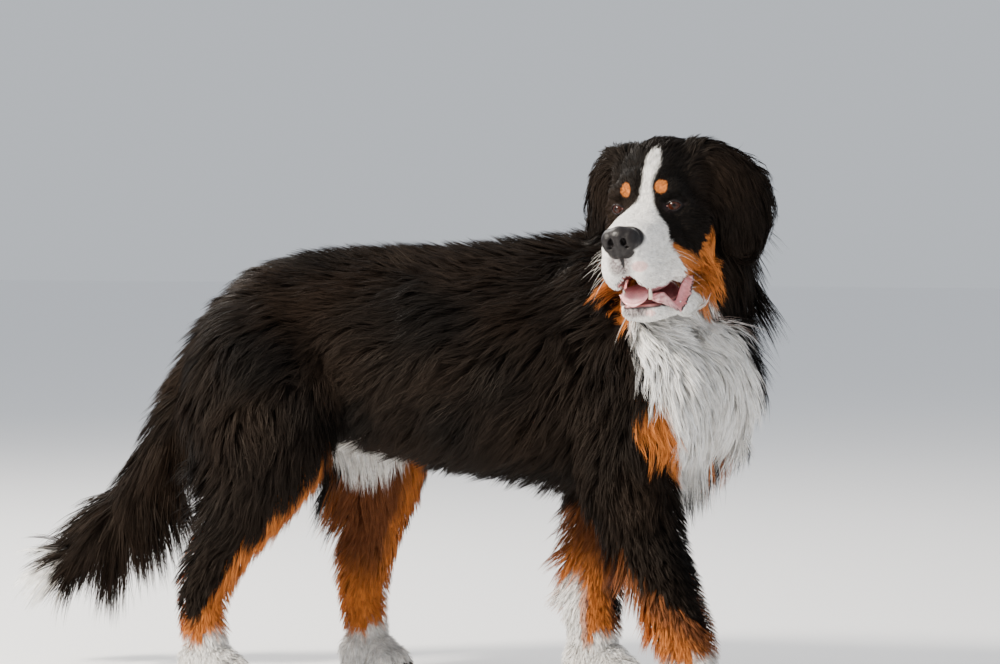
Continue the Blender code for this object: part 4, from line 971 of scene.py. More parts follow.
# Combs by tube and angle round it. Each has its row, the lie along the tube, out of it and down, then the
# locks' length, how close they cling to the body and how wavy they are. These count on both sides.
COMBS = (
    ("torso", 90, (
        (0.2, (-0.8, 0.6, 0.5), 7.5, 0.1, 0.6), (1.4, (-1, 0.45, 0.1), 7.5, 0.2, 0.8),
        (3.0, (-1, 0, 0), 6.5, 0.9, 0.8), (5.0, (-1, 0, 0), 6.0, 0.9, 0.6),
        (7.0, (-1, 0, 0), 6.5, 0.9, 0.6), (8.6, (-1, 0, 0), 6.5, 0.9, 0.6),
    )),
    ("torso", 165, (
        (0.6, (-0.8, 0.2, 0.7), 7.0, 0.6, 0.8),
    )),
    ("torso", 150, (
        (2.2, (-1, 0, 0.35), 7.0, 0.9, 0.9), (4.0, (-1, 0, 0.45), 6.5, 0.9, 1.0),
        (6.0, (-1, 0, 0.45), 6.5, 0.9, 0.8), (8.0, (-1, 0, 0.6), 7.0, 0.9, 0.7),
    )),
    ("torso", 190, (
        (2.4, (-0.9, 0, 0.6), 7.0, 0.9, 1.0), (4.0, (-0.8, 0, 0.75), 7.0, 0.9, 1.3),
        (5.6, (-0.8, 0, 0.75), 7.0, 0.9, 1.2), (7.2, (-0.7, 0, 0.8), 7.0, 0.9, 0.9),
    )),
    ("torso", 232, (
        (2.6, (-0.8, 0, 0.6), 6.5, 0.8, 0.8), (4.2, (-0.8, 0, 0.6), 6.5, 0.8, 0.9),
        (6.0, (-0.8, 0, 0.6), 6.5, 0.8, 0.8), (7.8, (-0.7, 0, 0.7), 6.5, 0.8, 0.7),
    )),
    ("torso", 270, (
        (3.0, (-0.8, 0.5, 0.2), 7.0, 0.2, 0.6), (5.0, (-0.8, 0.5, 0.2), 6.5, 0.2, 0.6),
        (7.0, (-0.8, 0.6, 0.2), 7.0, 0.1, 0.6), (8.2, (-0.6, 0.6, 0.5), 8.0, 0.1, 0.8),
    )),
    ("torso", 180, (
        (9.2, (-0.3, 0, 1.0), 8.5, 0.8, 0.8),
    )),
    ("torso", 225, (
        (9.2, (-0.2, 0, 1.0), 9.0, 0.7, 0.9),
    )),
    ("torso", 270, (
        (9.2, (0.1, 0.3, 1.0), 12.0, 0.0, 0.9),
    )),
    ("torso", 180, (
        (10.0, (0.0, 0.2, 1.0), 9.5, 0.6, 0.9),
    )),
    ("torso", 225, (
        (10.0, (0.2, 0.3, 1.0), 11.5, 0.2, 0.9),
    )),
    ("torso", 270, (
        (10.0, (0.3, 0.3, 1.0), 12.5, 0.0, 0.9),
    )),
    ("neck", 90, (
        (0.9, (-1, 0, 0), 7.0, 0.9, 0.6), (2.4, (-1, 0, 0), 7.0, 0.9, 0.6),
        (3.6, (-1, 0, 0.1), 5.5, 0.9, 0.5),
    )),
    ("neck", 170, (
        (0.9, (-1, 0, 0.5), 7.5, 0.9, 0.7), (2.2, (-1, 0.1, 0.5), 8.0, 0.8, 0.9),
        (3.4, (-1, 0.1, 0.5), 7.5, 0.8, 1.0),
    )),
    ("neck", 225, (
        (1.0, (-0.8, 0, 0.8), 8.5, 0.8, 0.9), (2.2, (-0.8, 0.1, 0.8), 8.5, 0.7, 1.0),
        (3.2, (-0.8, 0.1, 0.8), 8.0, 0.7, 1.0),
    )),
    ("neck", 270, (
        (1.0, (-0.7, 0, 0.8), 9.0, 0.7, 0.9), (2.2, (-0.7, 0.05, 0.8), 9.0, 0.7, 0.9),
        (3.2, (-0.8, 0.05, 0.6), 7.5, 0.8, 0.9),
    )),
    ("tail", 270, (
        (0.6, (1, 0.05, 0), 7.0, 0.8, 0.5), (1.0, (1, 0.1, 0), 7.5, 0.5, 0.4),
        (2.5, (1, 0.35, 0), 9.0, 0.2, 0.4), (4.5, (1, 0.7, 0), 11.0, 0.0, 0.3),
        (6.4, (1, 0.6, 0), 9.5, 0.0, 0.3),
    )),
    ("tail", 180, (
        (1.0, (1, 0.15, 0), 8.0, 0.6, 0.5), (3.0, (1, 0.35, 0.5), 11.0, 0.1, 0.4),
        (5.0, (1, 0.3, 0.4), 10.0, 0.1, 0.3), (6.4, (1, 0.3, 0), 8.0, 0.0, 0.3),
    )),
    ("tail", 90, (
        (1.0, (1, 0.5, 0), 10.0, 0.3, 0.5), (2.0, (1, 0.9, 0), 13.0, 0.0, 0.4),
        (3.2, (1, 1.1, 0), 15.5, 0.0, 0.4), (4.6, (1, 1.0, 0), 15.0, 0.0, 0.3),
        (5.8, (1, 0.5, 0), 10.0, 0.0, 0.3), (6.8, (1, 0.3, 0), 7.5, 0.0, 0.3),
    )),
    ("hind_right", 180, (
        (1.2, (0.8, 0, 0.3), 7.5, 0.9, 0.9), (2.4, (0.9, 0, 0.2), 7.0, 0.9, 0.9),
        (3.4, (1, 0, 0), 5.5, 0.9, 0.7), (4.4, (1, 0, 0), 4.2, 0.9, 0.5), (5.5, (1, 0, 0), 3.0, 0.9, 0.4),
        (7.0, (1, 0, 0), 2.2, 0.9, 0.3), (9.0, (1, 0, 0), 1.4, 0.9, 0.2),
    )),
    ("hind_right", 90, (
        (2.2, (1, 0, 0), 5.5, 0.8, 0.6), (3.4, (1, 0.2, 0), 5.5, 0.6, 0.5),
        (5.0, (1, 0.2, 0), 4.0, 0.6, 0.4), (7.0, (1, 0, 0), 2.0, 0.9, 0.3), (9.0, (1, 0, 0), 1.4, 0.9, 0.2),
    )),
    ("hind_right", 270, (
        (1.4, (0.8, 0.3, 0.3), 8.5, 0.5, 0.9), (2.6, (0.8, 0.7, 0.3), 10.5, 0.1, 0.8),
        (3.6, (0.8, 0.8, 0.3), 11.0, 0.0, 0.8), (4.6, (0.8, 0.8, 0.2), 9.0, 0.0, 0.6),
        (5.6, (0.9, 0.4, 0), 5.0, 0.3, 0.5), (6.8, (1, 0.1, 0), 3.0, 0.8, 0.4),
        (8.6, (1, 0.1, 0), 2.0, 0.8, 0.3),
    )),
    ("hind_right", 0, (
        (2.4, (0.9, 0, 0.2), 6.0, 0.9, 0.6), (3.8, (0.8, 0, 0.2), 5.0, 0.9, 0.6),
        (5.5, (1, 0, 0), 3.0, 0.9, 0.4), (8.0, (1, 0, 0), 1.8, 0.9, 0.3),
    )),
    ("fore_right", 180, (
        (1.0, (0.8, 0, 0.5), 7.0, 0.9, 0.8), (2.0, (0.9, 0, 0.3), 6.0, 0.9, 0.7),
        (3.2, (1, 0, 0), 4.5, 0.9, 0.5), (4.4, (1, 0, 0), 3.2, 0.9, 0.4), (6.0, (1, 0, 0), 2.4, 0.9, 0.3),
        (9.0, (1, 0, 0), 1.4, 0.9, 0.2),
    )),
    ("fore_right", 90, (
        (1.6, (0.9, 0, 0.4), 6.5, 0.9, 0.7), (3.0, (1, 0, 0), 4.0, 0.9, 0.4),
        (5.0, (1, 0, 0), 2.4, 0.9, 0.3), (7.0, (1, 0, 0), 1.8, 0.9, 0.2), (9.0, (1, 0, 0), 1.3, 0.9, 0.2),
    )),
    ("fore_right", 270, (
        (2.4, (0.8, 0.3, 0.2), 6.5, 0.5, 0.6), (3.6, (0.8, 0.7, 0.1), 6.5, 0.1, 0.5),
        (4.8, (0.8, 0.8, 0.0), 7.0, 0.0, 0.5), (6.0, (0.8, 0.8, 0.0), 6.0, 0.0, 0.5),
        (7.2, (0.9, 0.5, 0), 3.5, 0.3, 0.4), (8.8, (1, 0.2, 0), 2.0, 0.8, 0.3),
    )),
    ("fore_right", 0, (
        (3.0, (1, 0, 0), 4.5, 0.9, 0.5), (5.0, (1, 0, 0), 2.6, 0.9, 0.3), (8.0, (1, 0, 0), 1.6, 0.9, 0.2),
    )),
)
# Combs of the left side alone, where the turned head spreads the neck's coat
LEFT_COMBS = (
    ("neck", 10, (
        (1.4, (-0.8, 0.8, 0.5), 10.0, 0.0, 0.7), (2.4, (-0.7, 0.9, 0.5), 10.5, 0.0, 0.7),
        (3.3, (-0.6, 1.0, 0.5), 10.0, 0.0, 0.7),
    )),
    ("neck", 340, (
        (1.4, (-0.8, 0.8, 0.5), 10.5, 0.0, 0.7), (2.4, (-0.7, 0.9, 0.5), 10.5, 0.0, 0.7),
        (3.3, (-0.6, 1.0, 0.5), 10.0, 0.0, 0.7),
    )),
    ("neck", 288, (
        (1.4, (-0.4, 1.0, 0.6), 12.0, 0.0, 0.7),
    )),
    ("neck", 290, (
        (2.1, (-0.3, 1.0, 0.5), 12.5, 0.0, 0.7),
    )),
    ("neck", 296, (
        (2.8, (-0.2, 1.0, 0.5), 12.5, 0.0, 0.7),
    )),
    ("neck", 308, (
        (3.4, (-0.2, 1.0, 0.5), 11.0, 0.0, 0.7),
    )),
    ("neck", 272, (
        (0.9, (-0.5, 0.6, 0.9), 12.5, 0.0, 0.9),
    )),
    ("torso", 285, (
        (10.0, (0.4, 0.6, 1.0), 12.5, 0.0, 0.9),
    )),
    ("hind_left", 90, (
        (2.6, (1, 0, 0), 2.6, 1.0, 0.3), (3.6, (1, 0, 0), 2.4, 1.0, 0.3), (4.6, (1, 0, 0), 2.2, 1.0, 0.3),
    )),
)
# The head's combs, in its own frame and on both sides: place, lie, length, height over the skin and waves
HEAD_COMBS = (
    ((10, 0, -2.0), (-1, 0, 0.15), 0.33, 0.06, 0),
    ((7, 0, -1), (-1, 0, 0.15), 0.53, 0.09, 0),
    ((7, 3.5, -3), (-1, 0.2, -0.1), 0.59, 0.11, 0),
    ((7.5, 3.8, -6), (-1, 0.2, -0.35), 0.66, 0.15, 0.1),
    ((9.5, 2, -7), (-0.7, 0.5, -0.6), 0.4, 0.09, 0),
    ((3, 0, 0.3), (-1, 0, 0.3), 0.66, 0.14, 0),
    ((3.5, 4.3, -4), (-1, 0.1, -0.2), 0.79, 0.15, 0.1),
    ((3.5, 4.6, -8), (-0.9, 0.1, -0.5), 0.86, 0.19, 0.2),
    ((1.6, 0, 2.5), (-0.4, 0, 1), 0.79, 0.19, 0),
    ((1, 3.0, 2.8), (-0.5, 0.5, 1), 0.73, 0.19, 0),
    ((0.8, 2.4, 0.4), (-0.3, 0.6, 0.8), 0.4, 0.08, 0),
    ((0.0, 5.8, 1.4), (-0.8, 0.6, 0.4), 0.59, 0.11, 0),
    ((0.6, 4.4, -1.8), (-0.8, 0.5, -0.4), 0.53, 0.09, 0),
    ((-1.0, 0, 6.4), (-0.9, 0, 0.8), 1.19, 0.26, 0.2),
    ((-1.5, 4.0, 5.6), (-0.9, 0.4, 0.7), 1.19, 0.26, 0.2),
    ((-3.6, 6.6, 1.0), (-1, 0.2, 0.0), 1.06, 0.22, 0.2),
    ((-3.4, 7.2, -3.4), (-1, 0.1, -0.4), 1.19, 0.3, 0.3),
    ((-1.5, 6.4, -6.5), (-1, 0.1, -0.6), 1.32, 0.38, 0.4),
    ((-4.2, 7.4, -8.5), (-0.7, 0.7, -0.9), 4, 1.8, 0.6),
    ((-7.0, 7.5, -9.0), (-0.6, 0.9, -1), 6, 3, 0.8),
    ((-7.0, 7.0, -4.0), (-1, 0.2, -0.5), 3.5, 0.7, 0.5),
    ((-6.0, 0, 9.2), (-1, 0, 0.3), 2.8, 0.6, 0.4),
    ((-6.0, 5.0, 8.0), (-1, 0.5, 0.5), 3.4, 1.2, 0.5),
    ((-12, 0, 8.0), (-0.8, 0, -0.4), 4, 0.9, 0.5),
    ((-14, 6, 4.0), (-0.8, 0.2, -0.6), 5, 1.2, 0.6),
    ((-14, 7, -3.0), (-0.6, 0.2, -0.9), 6, 1.8, 0.8),
    ((5.0, 0, -15.8), (-1, 0, -0.3), 0.66, 0.15, 0.2),
    ((4.5, 2.6, -15.0), (-1, 0.2, -0.4), 0.79, 0.22, 0.2),
    ((0.5, 4.4, -14.6), (-1, 0.1, -0.6), 1.32, 0.38, 0.4),
    ((0.0, 0, -16.4), (-1, 0, -0.5), 2.2, 0.6, 0.5),
    ((-5.0, 4.0, -15.0), (-0.8, 0.1, -0.9), 4.5, 1.6, 0.8),
    ((-5.0, 0, -15.5), (-0.8, 0, -0.9), 5, 2, 0.8),
    ((-8.4, 7.2, 8.6), (-0.4, 1, 0.0), 3, 0.6, 0.5),
    ((-7.4, 10.5, 7.4), (-0.1, 0.7, -0.6), 3.5, 0.6, 0.6),
    ((-6.4, 13.0, 3.0), (0.0, 0.2, -1), 4, 0.6, 0.8),
    ((-6.6, 13.4, -2.0), (0.0, 0.1, -1), 4.5, 0.7, 1.0),
    ((-7.4, 12.8, -6.5), (0.0, 0.1, -1), 5.5, 0.8, 1.0),
    ((-13.0, 8.4, 4.0), (-0.7, 0.3, -0.8), 4.5, 0.9, 1.2),
    ((-13.2, 8.4, -2.0), (-0.8, 0.3, -0.9), 5, 1, 1.3),
    ((-6.0, 9.5, -4.0), (0.2, 0, -1), 3.5, 0.5, 0.8),
)
HEAD_CLING = 0.95
# A path's segments, and the candidates for a tuft's root on each square CM
SEGMENTS = 4
CANDIDATES = 16
# Points blended from the combs at a time
CHUNK = 20000
CANDIDATES_SEED = 11
STRANDS_SEED = 12
EDDY_SEEDS = (51, 52, 53)


def body_comb(name, angle, at, lie, length, cling, wave):
    """A comb's place on its tube, outward direction, lie and values."""
    fine = smooth_rows(TUBES[name][0])
    index = min(int(round(at * STEPS)), len(fine) - 1)
    centre, along, side, normal, *reach = stations(fine, 0.0)[index]
    coated = stations(fine, 1.0)[index][4:]
    c, s = math.cos(math.radians(angle)), math.sin(math.radians(angle))
    pick = 0 if s > 0 else 1
    out = side * (c * reach[2]) + normal * (s * reach[pick])
    depth = abs(c) ** 1.5 * (coated[2] - reach[2]) + abs(s) ** 1.5 * (coated[pick] - reach[pick])
    depth /= abs(c) ** 1.5 + abs(s) ** 1.5
    place = centre + out
    out = out.normalized()
    heading = (along * lie[0] + out * lie[1] + Vector((0, 0, -lie[2]))).normalized()
    return (*place, *out, *heading, length * CM, depth, cling, wave)


def comb_field(skin_tree):
    """The combs' places, outward directions, lies and values: length, depth, cling and waves."""
    rows = []
    for name, angle, combs in COMBS:
        other = name.replace("right", "left")
        for comb in combs:
            rows += [body_comb(name, angle, *comb), body_comb(other, (180 - angle) % 360, *comb)]
    for name, angle, combs in LEFT_COMBS:
        rows += [body_comb(name, angle, *comb) for comb in combs]
    for place, lie, length, height, wave in HEAD_COMBS:
        for side in (1, -1):
            if side < 0 and place[1] == 0:
                continue
            at = Vector(from_head((place[0], place[1] * side, place[2])))
            near, normal, _, _ = skin_tree.find_nearest(at)
            heading = Vector(HEAD_AXES @ np.array((lie[0], lie[1] * side, lie[2]))).normalized()
            rows.append((*near, *normal, *heading, length * CM, height * CM, HEAD_CLING, wave))
    return np.array(rows, float)


def combed(points, normals, field):
    """Each point's lie, length, depth, cling and waves, blended from the combs near it that face its way."""
    lies = np.empty((len(points), 3))
    values = np.empty((len(points), 4))
    for start in range(0, len(points), CHUNK):
        some = slice(start, start + CHUNK)
        away = ((points[some, None] - field[None, :, :3]) ** 2).sum(2)
        facing = np.clip(normals[some] @ field[:, 3:6].T, 0.03, 1) ** 2
        share = facing / (away + (0.8 * CM) ** 2) ** 2
        share /= share.sum(1, keepdims=True)
        lies[some] = share @ field[:, 6:9]
        values[some] = share @ field[:, 9:13]
    return unit(lies), values


def bare(points):
    """Where no fur grows, for points of the head in its frame: nose, lips, mouth, lids and nostrils."""
    nose = nose_leather(points) > 0.3
    mouth = in_mouth(points) > 0.35
    rims = np.zeros(len(points), bool)
    for side in (1, -1):
        outside, reach, _, facing, _ = lid_distance(points, side)
        rims |= (outside < 0.17) & (reach < LID_REACH) & (facing > 0)
    return nose | mouth | rims


def nose_leather(points):
    """1 on the nose's leather and 0 off it."""
    x, y, z = points.T
    top = 1 - np.hypot(y / 3.1, (z + 3.7) / np.where(z > -3.7, 2.2, 1.8))
    lobes = 1 - np.hypot((np.abs(y) - 0.8) / 1.3, (z + 5.1) / 1.15)
    stem = 1 - np.hypot(y / 0.3, (z + 6.2) / 1.5)
    return np.clip(np.maximum(np.maximum(top, lobes), stem) * 7 + 1.0, 0, 1) * (x > 8.8)


def in_mouth(points):
    """1 inside the mouth and 0 outside it, with the lips' rims between."""
    x, y, z = points.T
    top, bottom = table(MOUTH, x, 1) + 0.25, table(MOUTH, x, 2) - 0.4
    wide = table(MOUTH, x, 3) + 0.15
    across = 1 - np.abs(y) / wide
    high = 1 - np.abs(z - (top + bottom) / 2) / ((top - bottom) / 2)
    inside = np.minimum(np.minimum(across * 4, high * 4), np.minimum((x + 4.2) * 1.0, (9.0 - x) * 1.5))
    return np.clip(inside + 0.5, 0, 1)


def scattered(obj, density, draw):
    """Random points on a mesh, so many for each square CM, with the surface's outward directions."""
    mesh = obj.data
    mesh.calc_loop_triangles()
    corners = points_of(obj)[values_of(mesh.loop_triangles, "vertices", np.int32, 3).reshape(-1, 3)]
    cross = np.cross(corners[:, 1] - corners[:, 0], corners[:, 2] - corners[:, 0])
    area = np.linalg.norm(cross, axis=1) / 2
    count = int(area.sum() / CM**2 * density)
    spots = (np.arange(count) + draw.uniform(size=count)) / count * area.sum()
    chosen = np.searchsorted(np.cumsum(area), spots).clip(0, len(area) - 1)
    a, b = draw.uniform(size=(2, count))
    over = a + b > 1
    a, b = np.where(over, 1 - a, a), np.where(over, 1 - b, b)
    first, second, third = corners[chosen].transpose(1, 0, 2)
    return first + (second - first) * a[:, None] + (third - first) * b[:, None], unit(cross[chosen])


def nearest(tree, points):
    """The nearest points of a surface and its outward directions there."""
    found = [tree.find_nearest(Vector(p)) for p in points]
    return np.array([f[0] for f in found]), np.array([f[1] for f in found])


def grown(tree, roots, normals, lies, values, draw):
    """The tufts' paths from their roots, over the skin or free of it, and the directions out of the coat."""
    length, depth, cling, _ = values.T
    length = length * draw.uniform(0.8, 1.15, len(roots))
    depth = depth * draw.uniform(0.7, 1.2, len(roots))
    cling = cling[:, None]
    eddies = np.column_stack([waves(roots, 7, seed) for seed in EDDY_SEEDS])
    restless = np.interp(length / CM, (1.5, 6), (0.1, 0.42))[:, None]
    heading = unit(lies + eddies * restless + draw.normal(size=lies.shape) * 0.1)
    heading = unit(heading - normals * (heading * normals).sum(1, keepdims=True) * cling)
    paths, faces = [roots - normals * 0.1 * CM], [normals]
    at, out = roots, normals
    for k in range(1, SEGMENTS + 1):
        share = k / SEGMENTS
        heading = unit(heading + (1 - cling) * np.array((0, 0, -0.16)) * share)
        free = at + heading * (length / SEGMENTS)[:, None]
        near, normal = nearest(tree, free)
        height = (depth * share**0.7)[:, None]
        inside = ((free - near) * normal).sum(1, keepdims=True) < height * 0.35
        free = np.where(inside, near + normal * height * 0.35, free)
        at = free + (near + normal * height - free) * cling
        at[:, 2] = np.maximum(at[:, 2], 0.3 * CM)
        out = unit(out + normal)
        turned_heading = unit(heading - normal * (heading * normal).sum(1, keepdims=True))
        heading = unit(heading + (turned_heading - heading) * cling)
        paths.append(at)
        faces.append(out)
    return np.stack(paths, 1), np.stack(faces, 1), length


# How many tufts a lock draws together and from how far, in CM
LOCK_SIZE = 8
LOCK_REACH = 3.2


def gathered(paths, length, draw):
    """The tufts drawn together into locks: each bends towards a chosen neighbour's path."""
    chosen = np.flatnonzero(draw.uniform(size=len(paths)) < 1 / LOCK_SIZE)
    tree = KDTree(len(chosen))
    for i, index in enumerate(chosen):
        tree.insert(paths[index, 0], i)
    tree.balance()
    leader, far = np.empty(len(paths), int), np.empty(len(paths))
    for i, root in enumerate(paths[:, 0]):
        _, found, far[i] = tree.find(root)
        leader[i] = chosen[found]
    heading = unit(paths[:, -1] - paths[:, 0])
    alike = (heading * heading[leader]).sum(1)
    pull = np.interp(length / CM, (1, 3, 7), (0.05, 0.3, 0.48)) * (far < LOCK_REACH * CM)
    pull = pull * np.clip(alike * 2 - 1, 0, 1)
    share = (np.linspace(0, 1, paths.shape[1]) ** 1.2)[None, :, None]
    return paths + (paths[leader] - paths) * share * pull[:, None, None]


def along_path(paths, share):
    """The points at a share of each path, beyond its end if share is over 1."""
    segments = paths.shape[1] - 1
    place = share * segments
    index = np.clip(place.astype(int), 0, segments - 1)
    rest = (place - index)[..., None]
    row = np.arange(len(paths))
    return paths[row, index] * (1 - rest) + paths[row, index + 1] * rest


# By a strand's number of segments: its width at each, from root to tip
TAPER = {4: (0.75, 1.0, 0.85, 0.5), 3: (0.8, 1.0, 0.7), 2: (0.9, 0.9)}


def strands(paths, faces, length, wave, spread, width, count, segments, draw):
    """Flat tapered strands round each tuft's path: their corners, as strand x corner x 3, and their tufts."""
    tuft = np.repeat(np.arange(len(paths)), count)
    total = len(tuft)
    paths, faces, length, wave = paths[tuft], faces[tuft], length[tuft], wave[tuft]
    spread, width = spread[tuft], width[tuft] * draw.uniform(0.7, 1.2, total)
    reach = draw.uniform(0.72, 1.08, total)
    beside = draw.normal(size=(2, total))[0] * spread
    back = draw.normal(size=total) * spread * 1.5
    lift = draw.uniform(-0.28, 0.28, total) * np.minimum(length, 5 * CM) * 0.16
    phase = np.repeat(draw.uniform(0, 6.28, len(paths) // count), count) + draw.normal(size=total) * 0.5
    turns = draw.uniform(0.7, 1.3, total) * 1.15
    roll = draw.normal(size=total) * 0.55
    centres, outs = [], []
    for k in range(segments + 1):
        share = k / segments
        at = along_path(paths, share * reach)
        out = unit(along_path(faces, share * np.minimum(reach, 1)))
        ahead = unit(along_path(paths, share * reach + 0.1) - at)
        side = unit(np.cross(ahead, out))
        loose = 1 - 0.72 * share
        swing = wave * length * 0.045 * np.sin(phase + share * turns * 6.28) * share**0.5
        shift = side * (beside * loose + swing)[:, None] + out * (lift * share)[:, None]
        centres.append(at + (shift + ahead * (back * (1 - share))[:, None]))
        outs.append((side, out))
    made = []
    for k in range(segments):
        side, out = outs[k]
        across = side * np.cos(roll)[:, None] + out * np.sin(roll)[:, None]
        half = (width / 2 * TAPER[segments][k])[:, None] * across
        made += [centres[k] - half, centres[k] + half]
    made.append(centres[segments])
    return np.stack(made, 1), tuft


# The map's height in rows, the size of a tuft's patch, and a strand's painted shade and light from root to tip
MAP_ROWS = 10.5
PATCH = 0.003
STRAND_PAINTED_LIGHT_AND_SHADE = {4: (0.65, 0.88, 1.0, 1.06, 1.12), 3: (0.7, 0.92, 1.04, 1.1), 2: (0.8, 1.0, 1.08)}


def coat_piece(name, corners, colours, uvs, material):
    """One mesh of strands with painted shade at each root and painted light at each tip, and each tuft's patch
    on its map.
    """
    count, ring_points, _ = corners.shape
    segments = (ring_points - 1) // 2
    last = 2 * segments
    loops = [v for k in range(0, last - 2, 2) for v in (k, k + 1, k + 3, k + 2)]
    loops = np.array(loops + [last - 2, last - 1, last])
    sizes = [4] * (segments - 1) + [3]
    mesh = bpy.data.meshes.new(name)
    mesh.vertices.add(count * ring_points)
    mesh.vertices.foreach_set("co", (corners + SHIFT).astype(np.float32).ravel())
    mesh.loops.add(count * len(loops))
    every = (np.arange(count)[:, None] * ring_points + loops).ravel()
    mesh.loops.foreach_set("vertex_index", every.astype(np.int32))
    starts = np.concatenate([[0], np.cumsum(sizes)[:-1]])
    mesh.polygons.add(count * len(sizes))
    starts = (np.arange(count)[:, None] * len(loops) + starts).ravel()
    mesh.polygons.foreach_set("loop_start", starts.astype(np.int32))
    mesh.polygons.foreach_set("loop_total", np.tile(sizes, count).astype(np.int32))
    mesh.update(calc_edges=True)
    # Painted shade darkens each strand towards its root and painted light brightens its tip
    level = np.minimum(np.arange(ring_points) // 2, segments)
    shade = np.array(STRAND_PAINTED_LIGHT_AND_SHADE[segments])[level]
    tone = np.ones((count, ring_points, 4), np.float32)
    tone[:, :, :3] = np.clip(colours[:, None] * shade[None, :, None], 0, 0.95)
    layer = mesh.color_attributes.new("Colour", "FLOAT_COLOR", "POINT")
    layer.data.foreach_set("color", tone.ravel())
    patch = np.column_stack([np.arange(ring_points) % 2, level / segments]) * PATCH
    uv_layer = mesh.uv_layers.new(name="OFBake")
    uv_layer.data.foreach_set("uv", (uvs[:, None] + patch[loops][None]).astype(np.float32).ravel())
    mesh.shade_smooth()
    mesh.materials.append(material)
    obj = linked(name, mesh)
    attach(obj, "root")


PIECE_TRIANGLES = 190000
# The share of tufts kept in the black coat, whose skin is as dark as they are
DARK_SHARE = 0.62
# By length in CM: the tufts for each square CM, a tuft's spread and its strands' width
DENSITY = ((0.35, 0.6, 1, 2, 4, 7, 9.8, 10.2, 15), (16, 15, 13, 8, 4.6, 3.0, 3.0, 5.5, 7.5))
SPREAD = ((0.35, 1, 3, 8), (0.06, 0.1, 0.22, 0.38))
WIDTH = ((0.35, 0.6, 1, 3, 8), (0.042, 0.048, 0.06, 0.1, 0.145))
# Tuft classes: the longest locks in it, in CM, how many strands a tuft has and their segments
CLASSES = ((2.4, 5, 2), (6.6, 6, 3), (99, 6, 4))
# How far the fur stays from the hanging lips, in CM
LIP_CLEAR = 0.35


def near_face(head):
    """Which points of the head lie in the face's region."""
    return np.linalg.norm(head - np.array(FACE[0]), axis=1) < FACE[1]


def furred_roots(skin, lip_tree, draw):
    """Random places on the skin where fur can grow: not on soles, bare skin or under the lips."""
    roots, normals = scattered(skin, CANDIDATES, draw)
    keep = ~((roots[:, 2] < SOLE_HEIGHT * CM) & (normals[:, 2] < -0.5))
    head = in_head(roots)
    close = near_face(head)
    index = np.flatnonzero(close & keep)
    keep[index] &= ~bare(head[index])
    index = np.flatnonzero(close & keep & (head[:, 2] < -9))
    keep[index] &= [lip_tree.find_nearest(Vector(p))[3] > LIP_CLEAR * CM for p in head[index] * CM]
    return roots[keep]


def grow_coat(skin, tree, lip_tree, places, material):
    """The whole coat: tufts by length and by part of the dog, in pieces of limited size."""
    draw = np.random.default_rng(CANDIDATES_SEED)
    roots = furred_roots(skin, lip_tree, draw)
    _, normals = nearest(tree, roots)
    lies, values = combed(roots, normals, comb_field(tree))
    keep = draw.uniform(size=len(roots)) < np.interp(values[:, 0] / CM, *DENSITY) / CANDIDATES
    roots, normals, lies, values = (a[keep] for a in (roots, normals, lies, values))
    found = places.find(roots)
    dark = (markings(roots, places)[:, 1] < 0.3) & (found[:, 0] != places.names.index("tail"))
    keep = ~dark | (draw.uniform(size=len(roots)) < DARK_SHARE)
    roots, normals, lies, values, found = (a[keep] for a in (roots, normals, lies, values, found))
    length = values[:, 0] / CM
    draw = np.random.default_rng(STRANDS_SEED)
    paths, faces, long = grown(tree, roots, normals, lies, values, draw)
    paths = gathered(paths, long, draw)
    seen = along_path(paths, np.full(len(paths), 0.6))
    colours = markings(seen, places, draw.uniform(-0.5, 0.5, len(seen)))
    uvs = np.column_stack([found[:, 2] / 360, found[:, 1] / MAP_ROWS]) * (1 - 2 * PATCH)
    spread, width = (np.interp(length, *rows) * CM for rows in (SPREAD, WIDTH))
    shortest = 0
    for longest, count, segments in CLASSES:
        chosen = (length > shortest) & (length <= longest)
        shortest = longest
        most = PIECE_TRIANGLES // (count * (2 * segments - 1))
        for part, name in enumerate(places.names):
            index = np.flatnonzero(chosen & (found[:, 0] == part))
            index = index[np.argsort(found[index, 1], kind="stable")]
            for piece, start in enumerate(range(0, len(index), most)):
                some = index[start : start + most]
                tufts = (a[some] for a in (paths, faces, long, values[:, 3], spread, width))
                made, tuft = strands(*tufts, count, segments, draw)
                tone = colours[some][tuft] * draw.uniform(0.75, 1.25, (len(tuft), 1))
                label = "coat_%s_%d_%d" % (name, segments, piece)
                coat_piece(label, made, tone, uvs[some][tuft], material)


# Materials


